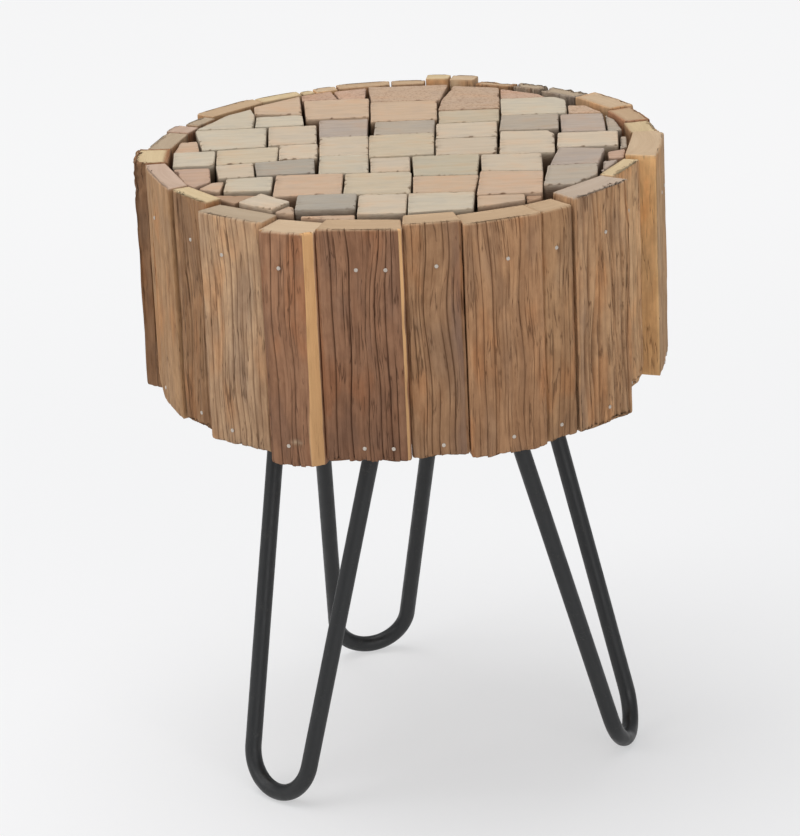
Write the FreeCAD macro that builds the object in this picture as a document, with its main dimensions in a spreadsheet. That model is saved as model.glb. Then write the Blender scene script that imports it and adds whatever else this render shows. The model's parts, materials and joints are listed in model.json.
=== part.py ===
"""Side table: a drum of nailed planks with a top of fitted offcuts, on three bent-rod hairpin legs.

Frame: millimetres, +Z up, origin on the floor under the middle of the drum.
The offcut rows run along X, and the rows are counted from -Y to +Y.
"""
import FreeCAD, Part
import math
import os

import Sketcher

# Driving sizes: lengths in millimetres, angles in degrees.
SIZES = {
    "table_height": 450,
    "drum_radius": 187,
    "drum_height": 168,
    "stave_thickness": 25,
    "stave_gap": 0.8,
    "end_stagger": 10,
    "broken_corner_height": 20,
    "split_depth": 3.2,
    "split_width": 1.6,
    "stave_clearance": 0.2,
    "board_extra_depth": 9,
    "board_set_back": 3,
    "ring_start_angle": 173,
    "deck_thickness": 18,
    "base_thickness": 12,
    "skirt_drop": 6,
    "block_height": 22,
    "block_swell": 0.35,
    "block_ease": 0.6,
    "post_width": 40,
    "post_edge_margin": 32,
    "rod_diameter": 12,
    "bend_radius": 29,
    "foot_circle_radius": 154,
    "leg_top_radius": 81,
    "leg_top_spread": 101,
    "leg_start_angle": -14,
    "plate_thickness": 4,
    "plate_width": 50,
    "plate_end_margin": 7,
    "plate_corner_radius": 8,
    "screw_inset": 9,
    "screw_diameter": 4.5,
    "screw_length": 14,
    "screw_head_diameter": 8.5,
    "screw_head_height": 2.6,
    "screw_clearance": 0.4,
    "nail_head_diameter": 3.6,
    "nail_head_height": 0.9,
    "nail_shank": 2.2,
    "nail_bite": 18,
    "nail_clearance": 0.2,
    "cut_overrun": 8,
}

# Sizes that follow from the driving ones.
DERIVED = {
    "drum_bottom": "Sizes.table_height - Sizes.drum_height",
    "board_radius": "Sizes.drum_radius - Sizes.stave_thickness",
    "board_depth": "board_radius + Sizes.board_extra_depth",
    "stave_inner": "Sizes.drum_radius - Sizes.stave_thickness + Sizes.stave_clearance",
    "deck_top": "Sizes.table_height - Sizes.block_height",
    "deck_bottom": "deck_top - Sizes.deck_thickness",
    "base_bottom": "drum_bottom + Sizes.skirt_drop",
    "base_top": "base_bottom + Sizes.base_thickness",
    "upper_nail_height": "deck_bottom + Sizes.deck_thickness / 2",
    "lower_nail_height": "base_bottom + Sizes.base_thickness / 2",
    "post_radius": "board_radius - Sizes.post_edge_margin - Sizes.post_width / 2",
    "plate_bottom": "base_bottom - Sizes.plate_thickness",
    "plate_length": "Sizes.leg_top_spread + Sizes.rod_diameter + 2 * Sizes.plate_end_margin",
    "rod_radius": "Sizes.rod_diameter / 2",
    "leg_rise": "plate_bottom - rod_radius",
    "leg_lean": "atan((Sizes.foot_circle_radius - Sizes.leg_top_radius) / leg_rise) / 1 deg",
    "leg_slant": "leg_rise / cos(leg_lean * 1 deg)",
    "screw_along": "plate_length / 2 - Sizes.screw_inset",
    "screw_across": "Sizes.plate_width / 2 - Sizes.screw_inset",
    "nail_hole": "Sizes.nail_shank + Sizes.nail_clearance",
    "screw_hole": "Sizes.screw_diameter + Sizes.screw_clearance",
}

LEG_COUNT = 3
FULL_TURN = 360.0

# Round sections are drawn with flats: the rods' with many, the small fasteners' with few.
ROD_SIDES = 20
FASTENER_SIDES = 6

# Planks in order round the drum, counter-clockwise from ring_start_angle. Each row holds shares:
# width of the plank round the ring, how far its face stands out against stave_thickness, rise of the
# top and of the bottom against end_stagger, bevel of the two outer corners against the standing out
# (clockwise corner second), and the places of the nails across the plank, from -1 to 1.
STAVE_SHARES = [
    (14.0, 1.06, 0.00, 0.12, 0.38, 0.12, (0.0,)),
    (22.0, 0.66, 0.04, 0.02, 0.12, 0.12, (0.2,)),
    (14.6, 0.64, 0.00, 0.20, 0.08, 0.12, (0.0,)),
    (17.7, 1.00, -0.34, 0.12, 0.10, 0.08, (0.3,)),
    (12.0, 1.36, -0.60, -0.28, 0.19, 0.08, (0.3,)),
    (17.5, 1.20, -0.30, 0.20, 0.08, 0.06, (0.1, -0.7)),
    (11.9, 1.13, -0.05, 0.30, 0.06, 0.06, (-0.1,)),
    (17.0, 1.18, -0.30, -0.05, 0.08, 0.06, (-0.1,)),
    (8.3, 1.08, -0.40, 0.15, 0.08, 0.06, (0.1,)),
    (18.0, 1.05, 0.00, 0.03, 0.10, 0.06, (-0.1,)),
    (15.0, 0.52, 0.00, 0.84, 0.08, 0.10, (0.0,)),
    (21.0, 0.93, 0.26, 0.92, 0.22, 0.06, (-0.3, 0.3)),
    (10.5, 0.84, 0.14, 0.50, 0.12, 0.10, (0.0,)),
    (12.5, 0.90, 0.17, 0.34, 0.10, 0.12, (0.1,)),
    (15.5, 1.05, 0.24, 0.20, 0.10, 0.10, (0.0,)),
    (12.0, 0.98, 0.12, 0.40, 0.14, 0.14, (-0.1,)),
    (8.5, 0.94, 0.17, -0.17, 0.12, 0.12, (0.0,)),
    (10.5, 0.88, 0.08, 0.30, 0.10, 0.10, (0.2,)),
    (6.5, 1.04, 0.40, 0.00, 0.12, 0.10, (0.0,)),
    (6.0, 1.04, 0.43, 0.37, 0.10, 0.10, (0.0,)),
    (8.5, 1.00, 0.05, -0.24, 0.10, 0.12, (0.0,)),
    (13.0, 1.02, 0.04, 0.13, 0.10, 0.10, (-0.2,)),
    (6.0, 0.96, 0.02, 0.44, 0.12, 0.10, (0.0,)),
    (3.5, 0.84, 0.00, 0.20, 0.10, 0.10, (0.0,)),
    (11.5, 0.92, 0.03, -0.10, 0.10, 0.10, (0.1,)),
    (17.5, 0.98, 0.05, 0.24, 0.14, 0.16, (-0.4, 0.4)),
    (8.0, 0.66, 0.00, 0.54, 0.10, 0.10, (0.0,)),
    (6.0, 0.92, -0.07, 0.07, 0.12, 0.12, (0.0,)),
    (15.0, 0.78, -0.10, 0.37, 0.12, 0.12, (0.0,)),
]

# Planks with a broken lower corner: plank number, and the width and height of the missing corner as
# shares of the plank's outer half width and of broken_corner_height. A positive width lies clockwise.
BROKEN_CORNER_SHARES = {2: (0.90, 1.10), 11: (-0.75, 0.84), 12: (-0.35, 0.76)}

# Main splits in the planks' faces: plank number, and for each split its place as a share of the
# plank's outer half width, clockwise positive, and its depth as a share of split_depth. The splits
# of a plank run from the clockwise side to the other.
SPLIT_SHARES = {
    1: ((0.45, 0.7), (-0.40, 0.6)),
    2: ((0.45, 0.5),),
    3: ((0.45, 0.6), (-0.40, 0.6)),
    4: ((0.55, 0.4), (0.00, 0.35), (-0.50, 0.4)),
    5: ((0.55, 0.4), (-0.10, 0.35)),
    6: ((0.70, 0.4), (0.36, 0.6), (-0.36, 0.6)),
    7: ((0.22, 0.6), (-0.50, 0.4)),
    8: ((0.40, 0.5), (-0.38, 0.5)),
    9: ((-0.50, 0.35),),
    10: ((0.22, 0.8), (-0.36, 0.9), (-0.65, 1.0)),
    11: ((0.40, 0.35),),
    13: ((0.45, 0.5), (-0.45, 0.5)),
    14: ((-0.35, 0.5),),
    15: ((0.40, 0.5), (-0.45, 0.4)),
    16: ((0.30, 0.8), (-0.50, 0.7)),
    17: ((0.50, 0.8),),
    18: ((-0.30, 0.5),),
    21: ((-0.50, 0.5),),
    22: ((0.30, 0.5), (-0.60, 0.4)),
    25: ((-0.40, 0.4),),
    26: ((0.65, 0.5), (0.00, 0.5)),
    27: ((0.50, 0.4),),
    28: ((0.55, 0.5),),
    29: ((0.40, 0.5), (-0.35, 0.4)),
}

# Offcuts of the top, one list for each row. Each offcut has its height as a share of block_height,
# then its corners as shares of the boards' half width and half depth, counter-clockwise.
BLOCK_ROW_SHARES = [
    [
        (0.96, ((-0.665, -0.730), (-0.525, -0.840), (-0.450, -0.745), (-0.575, -0.615))),
        (0.88, ((-0.510, -0.850), (-0.430, -0.888), (-0.435, -0.800), (-0.458, -0.775))),
        (0.99, ((-0.425, -0.875), (-0.178, -0.885), (-0.175, -0.682), (-0.420, -0.675))),
        (0.80, ((-0.400, -0.905), (-0.180, -0.968), (-0.180, -0.897), (-0.398, -0.889))),
        (0.94, ((-0.168, -0.945), (0.030, -0.955), (0.035, -0.692), (-0.165, -0.678))),
        (0.96, ((0.040, -0.962), (0.305, -0.938), (0.315, -0.708), (0.042, -0.698))),
        (0.93, ((0.325, -0.905), (0.520, -0.838), (0.520, -0.758), (0.328, -0.755))),
        (0.86, ((0.530, -0.830), (0.588, -0.790), (0.590, -0.758), (0.530, -0.758))),
    ],
    [
        (0.90, ((-0.845, -0.485), (-0.755, -0.548), (-0.745, -0.400), (-0.795, -0.408))),
        (0.86, ((-0.800, -0.582), (-0.685, -0.700), (-0.595, -0.605), (-0.745, -0.578))),
        (0.97, ((-0.735, -0.568), (-0.537, -0.578), (-0.537, -0.382), (-0.732, -0.392))),
        (0.95, ((-0.525, -0.655), (-0.240, -0.662), (-0.239, -0.368), (-0.522, -0.358))),
        (0.94, ((-0.230, -0.668), (0.048, -0.682), (0.052, -0.375), (-0.228, -0.370))),
        (0.96, ((0.062, -0.690), (0.315, -0.700), (0.335, -0.472), (0.060, -0.458))),
        (0.95, ((0.325, -0.745), (0.595, -0.748), (0.608, -0.445), (0.345, -0.415))),
        (0.99, ((0.605, -0.665), (0.735, -0.660), (0.832, -0.535), (0.842, -0.388), (0.632, -0.388))),
    ],
    [
        (0.92, ((-0.908, -0.412), (-0.868, -0.472), (-0.802, -0.398), (-0.818, -0.195), (-0.972, -0.195))),
        (0.95, ((-0.768, -0.360), (-0.617, -0.357), (-0.632, -0.158), (-0.790, -0.175))),
        (0.97, ((-0.605, -0.352), (-0.360, -0.345), (-0.370, -0.134), (-0.624, -0.162))),
        (0.94, ((-0.342, -0.350), (-0.132, -0.360), (-0.136, -0.092), (-0.346, -0.088))),
        (0.95, ((-0.120, -0.365), (0.046, -0.362), (0.044, -0.158), (-0.125, -0.158))),
        (0.96, ((0.064, -0.442), (0.330, -0.458), (0.344, -0.158), (0.056, -0.158))),
        (0.95, ((0.352, -0.402), (0.608, -0.430), (0.610, -0.182), (0.352, -0.168))),
        (0.98, ((0.641, -0.376), (0.845, -0.374), (0.884, -0.160), (0.690, -0.117))),
        (0.88, ((0.898, -0.262), (0.958, -0.262), (0.975, -0.135), (0.896, -0.172))),
        (0.90, ((0.860, -0.474), (0.936, -0.300), (0.872, -0.316))),
    ],
    [
        (0.97, ((-0.976, -0.175), (-0.800, -0.170), (-0.806, 0.040), (-0.986, 0.034))),
        (0.95, ((-0.790, -0.162), (-0.530, -0.138), (-0.532, 0.076), (-0.798, 0.052))),
        (0.95, ((-0.522, -0.118), (-0.357, -0.112), (-0.362, 0.098), (-0.526, 0.094))),
        (0.94, ((-0.346, -0.082), (-0.136, -0.086), (-0.140, 0.200), (-0.354, 0.204))),
        (1.00, ((-0.130, -0.150), (0.148, -0.146), (0.150, 0.180), (-0.134, 0.172))),
        (0.95, ((0.158, -0.150), (0.420, -0.146), (0.424, 0.100), (0.157, 0.100))),
        (0.96, ((0.432, -0.168), (0.668, -0.176), (0.676, 0.110), (0.652, 0.165), (0.444, 0.178))),
        (0.96, ((0.682, -0.098), (0.944, -0.106), (0.955, 0.114), (0.694, 0.118))),
        (0.90, ((0.954, -0.128), (0.980, -0.118), (0.988, 0.044), (0.965, 0.044))),
    ],
    [
        (0.94, ((-0.986, 0.048), (-0.876, 0.050), (-0.898, 0.215), (-0.968, 0.205))),
        (0.97, ((-0.862, 0.064), (-0.588, 0.088), (-0.598, 0.376), (-0.914, 0.376))),
        (0.96, ((-0.576, 0.106), (-0.366, 0.112), (-0.376, 0.392), (-0.586, 0.390))),
        (0.93, ((-0.355, 0.212), (-0.146, 0.208), (-0.146, 0.478), (-0.364, 0.480))),
        (0.97, ((-0.114, 0.188), (0.150, 0.192), (0.154, 0.402), (-0.110, 0.402))),
        (0.96, ((0.160, 0.110), (0.426, 0.114), (0.430, 0.342), (0.162, 0.338))),
        (0.97, ((0.440, 0.196), (0.698, 0.186), (0.706, 0.422), (0.454, 0.424))),
        (0.96, ((0.712, 0.142), (0.904, 0.132), (0.904, 0.402), (0.716, 0.408))),
        (0.95, ((0.916, 0.124), (0.974, 0.132), (0.950, 0.300), (0.916, 0.368))),
    ],
    [
        (0.98, ((-0.912, 0.388), (-0.658, 0.388), (-0.660, 0.592), (-0.684, 0.692), (-0.780, 0.606))),
        (0.97, ((-0.648, 0.402), (-0.432, 0.406), (-0.444, 0.566), (-0.650, 0.560))),
        (0.99, ((-0.422, 0.490), (-0.142, 0.488), (-0.146, 0.792), (-0.442, 0.792))),
        (0.98, ((-0.130, 0.410), (0.164, 0.412), (0.164, 0.718), (-0.136, 0.728))),
        (0.95, ((0.174, 0.356), (0.440, 0.362), (0.444, 0.546), (0.174, 0.548))),
        (0.98, ((0.454, 0.434), (0.746, 0.432), (0.746, 0.645), (0.700, 0.698), (0.456, 0.702))),
        (0.98, ((0.756, 0.416), (0.900, 0.412), (0.832, 0.532), (0.756, 0.546))),
    ],
    [
        (0.99, ((-0.658, 0.606), (-0.446, 0.574), (-0.466, 0.876), (-0.668, 0.722))),
        (0.98, ((-0.450, 0.802), (-0.288, 0.804), (-0.325, 0.944), (-0.456, 0.888))),
        (0.97, ((-0.278, 0.804), (-0.165, 0.802), (-0.162, 0.982), (-0.308, 0.940))),
        (0.99, ((-0.132, 0.740), (0.178, 0.724), (0.218, 0.976), (-0.150, 0.986))),
        (0.98, ((0.172, 0.558), (0.448, 0.556), (0.450, 0.888), (0.246, 0.958), (0.188, 0.720))),
        (0.97, ((0.458, 0.712), (0.660, 0.708), (0.622, 0.766), (0.460, 0.872))),
    ],
]


def make_sheet(doc, name, cells, as_formula=False):
    """A spreadsheet with one aliased cell for each entry."""
    sheet = doc.addObject("Spreadsheet::Sheet", name)
    for row, (alias, content) in enumerate(cells.items(), start=1):
        sheet.set(f"A{row}", alias)
        sheet.set(f"B{row}", f"={content}" if as_formula else str(content))
        sheet.setAlias(f"B{row}", alias)
    doc.recompute()
    return sheet


def bind(item, expressions):
    """Tie properties of an object to the sheets."""
    for path, text in expressions.items():
        item.setExpression(path, text)


def origin_plane(body, role):
    return next(plane for plane in body.Origin.OriginFeatures if plane.Role == role)


def new_sketch(body, name, role, lift="0"):
    """A sketch on one of the body's origin planes, lifted along the plane's normal."""
    sketch = body.newObject("Sketcher::SketchObject", name)
    sketch.AttachmentSupport = [(origin_plane(body, role), "")]
    sketch.MapMode = "FlatFace"
    sketch.setExpression("AttachmentOffset.Base.z", lift)
    return sketch


def number(item, text):
    """The value that an expression has now."""
    value = item.evalExpression(text)
    return float(getattr(value, "Value", value))


def pin_point(sketch, geometry, end, across, up):
    """Hold a point of the sketch at two expressions, measured from the sketch's origin."""
    for kind, text in (("DistanceX", across), ("DistanceY", up)):
        index = sketch.addConstraint(Sketcher.Constraint(kind, -1, 1, geometry, end, number(sketch, text)))
        sketch.setExpression(f"Constraints[{index}]", text)


def closed_outline(sketch, corners):
    """A closed polygon whose corners are pairs of expressions."""
    points = [FreeCAD.Vector(number(sketch, x), number(sketch, y), 0) for x, y in corners]
    following = points[1:] + points[:1]
    lines = [sketch.addGeometry(Part.LineSegment(*ends)) for ends in zip(points, following)]
    for line, next_line in zip(lines, lines[1:] + lines[:1]):
        sketch.addConstraint(Sketcher.Constraint("Coincident", line, 2, next_line, 1))
    for line, (x, y) in zip(lines, corners):
        pin_point(sketch, line, 1, x, y)


def round_outline(sketch, across, up, radius):
    """A round section drawn with flats, with its centre and radius as expressions."""
    turns = [FULL_TURN * side / ROD_SIDES for side in range(ROD_SIDES)]
    closed_outline(sketch, [
        (f"{across} + {radius} * cos({turn} deg)", f"{up} + {radius} * sin({turn} deg)")
        for turn in turns
    ])


def pad(body, sketch, name, length):
    feature = body.newObject("PartDesign::Pad", name)
    feature.Profile = sketch
    feature.setExpression("Length", length)
    return feature


def cut_through(body, sketch, name):
    """A pocket through the whole body, both ways from its sketch."""
    feature = body.newObject("PartDesign::Pocket", name)
    feature.Profile = sketch
    feature.Type = "ThroughAll"
    feature.Midplane = True
    return feature


def turned(angle):
    """Placement that turns a body's +Y to point outwards at an angle round the table's axis."""
    upright = FreeCAD.Vector(0, 0, 1)
    quarter = FULL_TURN / 4
    return FreeCAD.Placement(FreeCAD.Vector(0, 0, 0), FreeCAD.Rotation(upright, angle - quarter))


def stave_angles(sheet):
    """Start and end angle of every plank, so that the widths close the ring."""
    total = sum(row[0] for row in STAVE_SHARES)
    angle = number(sheet, "Sizes.ring_start_angle")
    spans = []
    for row in STAVE_SHARES:
        step = FULL_TURN * row[0] / total
        spans.append((angle, angle + step))
        angle += step
    return spans


def half_width(radius, half_angle):
    """Expression for half the plank's width at a radius, less half the gap to its neighbour."""
    return f"(({radius}) * tan({half_angle} deg) - Sizes.stave_gap / 2 / cos({half_angle} deg))"


def flat_reach(start, angle):
    """Expression for how far a flat that faces an angle lies from the axis, as the boards are oval."""
    depth = math.sin(math.radians(angle))
    return f"({start} + Sizes.board_extra_depth * {depth ** 2:.4f} + Sizes.board_set_back * {depth:.4f})"


def make_stave(doc, number_in_ring, row, span):
    """One plank: bevelled to close the ring, flat inside against the two boards."""
    thick, rise, lift, bevel_ccw, bevel_cw, nail_places = row[1:]
    body = doc.addObject("PartDesign::Body", f"stave_{number_in_ring:02d}")
    half = (span[1] - span[0]) / 2
    inner = flat_reach("Derived.stave_inner", (span[0] + span[1]) / 2)
    outer = f"Derived.stave_inner + Sizes.stave_thickness * {thick}"
    ccw = f"Sizes.stave_thickness * {thick * bevel_ccw}"
    clockwise = f"Sizes.stave_thickness * {thick * bevel_cw}"
    outline = new_sketch(body, "section", "XY_Plane", f"Derived.drum_bottom + Sizes.end_stagger * {lift}")
    closed_outline(outline, [
        (f"-{half_width(inner, half)}", inner),
        (half_width(inner, half), inner),
        (half_width(f"{outer} - {clockwise}", half), f"{outer} - {clockwise}"),
        (f"{half_width(outer, half)} - {clockwise}", outer),
        *splits(half_width(outer, half), outer, SPLIT_SHARES.get(number_in_ring, ())),
        (f"{ccw} - {half_width(outer, half)}", outer),
        (f"-{half_width(f'{outer} - {ccw}', half)}", f"{outer} - {ccw}"),
    ])
    pad(body, outline, "plank", f"Sizes.drum_height + Sizes.end_stagger * {rise - lift}")
    holes = new_sketch(body, "nail_holes", "XZ_Plane")
    for row_height in ("Derived.upper_nail_height", "Derived.lower_nail_height"):
        for place in nail_places:
            side = f"{half_width('Derived.stave_inner', half)} * {place}"
            square_hole(holes, side, row_height)
    cut_through(body, holes, "nail_cut")
    if number_in_ring in BROKEN_CORNER_SHARES:
        break_corner(body, half_width(outer, half), lift, *BROKEN_CORNER_SHARES[number_in_ring])
    body.Placement = turned((span[0] + span[1]) / 2)
    return body


def splits(outer_half, outer, shares):
    """Corners of the splits that are open in the face of a plank's section."""
    corners = []
    for place, depth in shares:
        across = f"{outer_half} * {place}"
        corners += [
            (f"{across} + Sizes.split_width / 2", outer),
            (across, f"{outer} - Sizes.split_depth * {depth}"),
            (f"{across} - Sizes.split_width / 2", outer),
        ]
    return corners


def square_hole(sketch, across, up):
    """Four lines round a nail's square shank."""
    reach = "Derived.nail_hole / 2"
    closed_outline(sketch, [
        (f"{across} - {reach}", f"{up} - {reach}"),
        (f"{across} + {reach}", f"{up} - {reach}"),
        (f"{across} + {reach}", f"{up} + {reach}"),
        (f"{across} - {reach}", f"{up} + {reach}"),
    ])


def break_corner(body, outer_half, lift, width_share, height_share):
    """Split a triangle off a lower corner of a plank."""
    sketch = new_sketch(body, "broken_corner", "XZ_Plane")
    bottom = f"Derived.drum_bottom + Sizes.end_stagger * {lift}"
    way = math.copysign(1, width_share)
    edge = f"({outer_half} + Sizes.cut_overrun) * {way}"
    closed_outline(sketch, [
        (edge, f"{bottom} - Sizes.cut_overrun"),
        (f"{outer_half} * {way - width_share}", f"{bottom} - Sizes.cut_overrun"),
        (edge, f"{bottom} + Sizes.broken_corner_height * {height_share}"),
    ])
    cut_through(body, sketch, "corner_cut")


def make_block(doc, name, height_share, corners):
    """One offcut: a prism standing on the deck board, with its top edges eased."""
    body = doc.addObject("PartDesign::Body", name)
    middle = [sum(corner[axis] for corner in corners) / len(corners) for axis in (0, 1)]
    scales = ("{} * Derived.board_radius", "{} * Derived.board_depth + Sizes.board_set_back")
    outline = new_sketch(body, "section", "XY_Plane", "Derived.deck_top")
    places = []
    for corner in corners:
        place = []
        for axis in (0, 1):
            outward = math.copysign(1, corner[axis] - middle[axis])
            place.append(f"{scales[axis].format(corner[axis])} + Sizes.block_swell * {outward}")
        places.append(tuple(place))
    closed_outline(outline, places)
    block = pad(body, outline, "offcut", f"Sizes.block_height * {height_share}")
    doc.recompute()
    top = max(range(len(block.Shape.Faces)), key=lambda face: block.Shape.Faces[face].CenterOfMass.z)
    ease = body.newObject("PartDesign::Chamfer", "eased_edge")
    ease.Base = (block, [f"Face{top + 1}"])
    ease.setExpression("Size", "Sizes.block_ease")
    return body


def make_block_row(doc, row_number, row):
    """A row of the top: separate offcuts kept together under one name."""
    group = doc.addObject("Part::Compound", f"top_blocks_row_{row_number}")
    group.Links = [make_block(doc, f"row_{row_number}_block_{index}", *block)
                   for index, block in enumerate(row, start=1)]
    return group


def make_post(doc, name, angle):
    """A square post that keeps the two boards apart."""
    body = doc.addObject("PartDesign::Body", name)
    outline = new_sketch(body, "section", "XY_Plane", "Derived.base_top")
    half = "Sizes.post_width / 2"
    closed_outline(outline, [
        (f"-{half}", f"Derived.post_radius - {half}"),
        (half, f"Derived.post_radius - {half}"),
        (half, f"Derived.post_radius + {half}"),
        (f"-{half}", f"Derived.post_radius + {half}"),
    ])
    pad(body, outline, "post", "Derived.deck_bottom - Derived.base_top")
    body.Placement = turned(angle)
    return body


def make_leg(doc, name, angle):
    """A round rod bent into a hairpin, leaning out to its foot, its ends cut flush under the plate."""
    body = doc.addObject("PartDesign::Body", name)
    section = new_sketch(body, "rod_section", "YZ_Plane")
    round_outline(section, "Sizes.foot_circle_radius", "Derived.rod_radius", "Derived.rod_radius")
    rod = body.newObject("PartDesign::AdditivePipe", "half_rod")
    rod.Profile = section
    rod.Spine = (leg_spine(body), ["Edge1", "Edge2"])
    doc.recompute()
    pair = body.newObject("PartDesign::Mirrored", "both_rods")
    pair.TransformMode = "Whole shape"
    pair.MirrorPlane = (origin_plane(body, "YZ_Plane"), [""])
    body.Tip = pair
    doc.recompute()
    trim = new_sketch(body, "trim", "XY_Plane", "Derived.plate_bottom")
    side = "(Derived.plate_length / 2 + Sizes.cut_overrun)"
    closed_outline(trim, [
        (f"-{side}", "Sizes.leg_top_radius - Sizes.plate_width"),
        (side, "Sizes.leg_top_radius - Sizes.plate_width"),
        (side, "Sizes.leg_top_radius + Sizes.plate_width"),
        (f"-{side}", "Sizes.leg_top_radius + Sizes.plate_width"),
    ])
    flush = body.newObject("PartDesign::Pocket", "flush_ends")
    flush.Profile = trim
    flush.Reversed = True
    flush.setExpression("Length", "Sizes.cut_overrun * 2")
    body.Placement = turned(angle)
    return body


def leg_spine(body):
    """Half of the hairpin's centre line, from the middle of the bend to above the plate."""
    spine = new_sketch(body, "spine", "XZ_Plane", "-Sizes.foot_circle_radius")
    sideways = FreeCAD.Vector(1, 0, 0)
    lean = number(spine, "Derived.leg_lean")
    spine.AttachmentOffset = FreeCAD.Placement(FreeCAD.Vector(0, 0, 0), FreeCAD.Rotation(sideways, lean))
    bind(spine, {
        "AttachmentOffset.Base.y": "Derived.rod_radius",
        "AttachmentOffset.Rotation.Angle": "Derived.leg_lean * 1 deg",
    })
    bend = number(spine, "Sizes.bend_radius")
    end = FreeCAD.Vector(
        number(spine, "Sizes.leg_top_spread / 2"),
        number(spine, "Derived.leg_slant + Sizes.cut_overrun"),
        0,
    )
    centre = FreeCAD.Vector(0, bend, 0)
    arc = Part.Circle(centre, FreeCAD.Vector(0, 0, 1), bend)
    spine.addGeometry(Part.ArcOfCircle(arc, -math.pi / 2, 0))
    spine.addGeometry(Part.LineSegment(FreeCAD.Vector(bend, bend, 0), end))
    spine.addConstraint(Sketcher.Constraint("Coincident", 0, 1, -1, 1))
    spine.addConstraint(Sketcher.Constraint("PointOnObject", 0, 3, -2))
    spine.addConstraint(Sketcher.Constraint("Tangent", 0, 2, 1, 1))
    radius = spine.addConstraint(Sketcher.Constraint("Radius", 0, bend))
    spine.setExpression(f"Constraints[{radius}]", "Sizes.bend_radius")
    pin_point(spine, 1, 2, "Sizes.leg_top_spread / 2", "Derived.leg_slant + Sizes.cut_overrun")
    return spine


def make_plate(doc, name, angle, holes):
    """The flat plate that a hairpin is welded to, with a screw hole near each corner."""
    body = doc.addObject("PartDesign::Body", f"{name}_blank")
    outline = new_sketch(body, "outline", "XY_Plane", "Derived.plate_bottom")
    side = "Derived.plate_length / 2"
    half = "Sizes.plate_width / 2"
    closed_outline(outline, [
        (f"-{side}", f"Sizes.leg_top_radius - {half}"),
        (side, f"Sizes.leg_top_radius - {half}"),
        (side, f"Sizes.leg_top_radius + {half}"),
        (f"-{side}", f"Sizes.leg_top_radius + {half}"),
    ])
    plate = pad(body, outline, "plate", "Sizes.plate_thickness")
    doc.recompute()
    upright = [f"Edge{index}" for index, edge in enumerate(plate.Shape.Edges, start=1)
               if abs(edge.tangentAt(edge.FirstParameter).z) > 0]
    corners = body.newObject("PartDesign::Fillet", "round_corners")
    corners.Base = (plate, upright)
    corners.setExpression("Radius", "Sizes.plate_corner_radius")
    body.Placement = turned(angle)
    return drilled(doc, name, body, holes)


def drilled(doc, name, blank, holes):
    """A blank with the holes of its fasteners cut out."""
    drills = doc.addObject("Part::Compound", f"{name}_drills")
    drills.Links = holes
    item = doc.addObject("Part::Cut", name)
    item.Base = blank
    item.Tool = drills
    return item


def screw_places():
    """The four screws of a plate, measured from its middle."""
    return [(f"{along} * Derived.screw_along", f"{across} * Derived.screw_across")
            for along in (-1, 1) for across in (-1, 1)]


def prism(doc, name, diameter, height):
    """An upright prism standing at zero, for a small fastener."""
    item = doc.addObject("Part::Prism", name)
    item.Polygon = FASTENER_SIDES
    bind(item, {"Circumradius": f"({diameter}) / 2", "Height": height})
    return item


def make_screw(doc):
    """A hexagon-headed wood screw along Z, its head's seat at zero, and the pilot hole for it."""
    head = prism(doc, "screw_head", "Sizes.screw_head_diameter", "Sizes.screw_head_height")
    head.setExpression("Placement.Base.z", "-Sizes.screw_head_height")
    shank = prism(doc, "screw_shank", "Sizes.screw_diameter", "Sizes.screw_length")
    screw = doc.addObject("Part::Fuse", "screw")
    screw.Base = head
    screw.Tool = shank
    depth = "Sizes.screw_length + Sizes.screw_clearance"
    pilot = prism(doc, "screw_pilot", "Derived.screw_hole", depth)
    return screw, pilot


def make_nail(doc):
    """A nail along -Y, its head's seat at zero, and the hole for its square shank."""
    head = prism(doc, "nail_head", "Sizes.nail_head_diameter", "Sizes.nail_head_height")
    facing = FreeCAD.Rotation(FreeCAD.Vector(1, 0, 0), -FULL_TURN / 4)
    head.Placement = FreeCAD.Placement(FreeCAD.Vector(0, 0, 0), facing)
    thickest = max(row[1] for row in STAVE_SHARES)
    length = f"(Sizes.stave_thickness * {thickest} + Sizes.nail_bite)"
    shank = square_bar(doc, "nail_shank_bar", "Sizes.nail_shank", length)
    nail = doc.addObject("Part::Fuse", "nail")
    nail.Base = head
    nail.Tool = shank
    hole = square_bar(doc, "nail_hole_bar", "Derived.nail_hole", f"{length} + Sizes.nail_clearance")
    return nail, hole


def square_bar(doc, name, side, length):
    """A square bar centred on Y, reaching from zero to minus its length."""
    bar = doc.addObject("Part::Box", name)
    bind(bar, {
        "Length": side,
        "Width": length,
        "Height": side,
        "Placement.Base.x": f"-({side}) / 2",
        "Placement.Base.y": f"-({length})",
        "Placement.Base.z": f"-({side}) / 2",
    })
    return bar


def nail_placements(sheet, height_name):
    """Where each nail of one row sits: on the outer face of its plank, square to it."""
    height = sheet.get(height_name)
    placements = []
    for row, span in zip(STAVE_SHARES, stave_angles(sheet)):
        half = (span[1] - span[0]) / 2
        outer = number(sheet, f"stave_inner + Sizes.stave_thickness * {row[1]}")
        reach = number(sheet, half_width("stave_inner", half))
        for place in row[6]:
            on_face = FreeCAD.Placement(FreeCAD.Vector(reach * place, outer, height), FreeCAD.Rotation())
            placements.append(turned((span[0] + span[1]) / 2).multiply(on_face))
    return placements


def screw_placements(sheet):
    """Where each screw sits: its head against the underside of a plate."""
    placements = []
    for angle in leg_angles(sheet):
        for along, across in screw_places():
            seat = FreeCAD.Vector(
                number(sheet, along),
                number(sheet, f"Sizes.leg_top_radius + {across}"),
                sheet.get("plate_bottom"),
            )
            placements.append(turned(angle).multiply(FreeCAD.Placement(seat, FreeCAD.Rotation())))
    return placements


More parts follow.
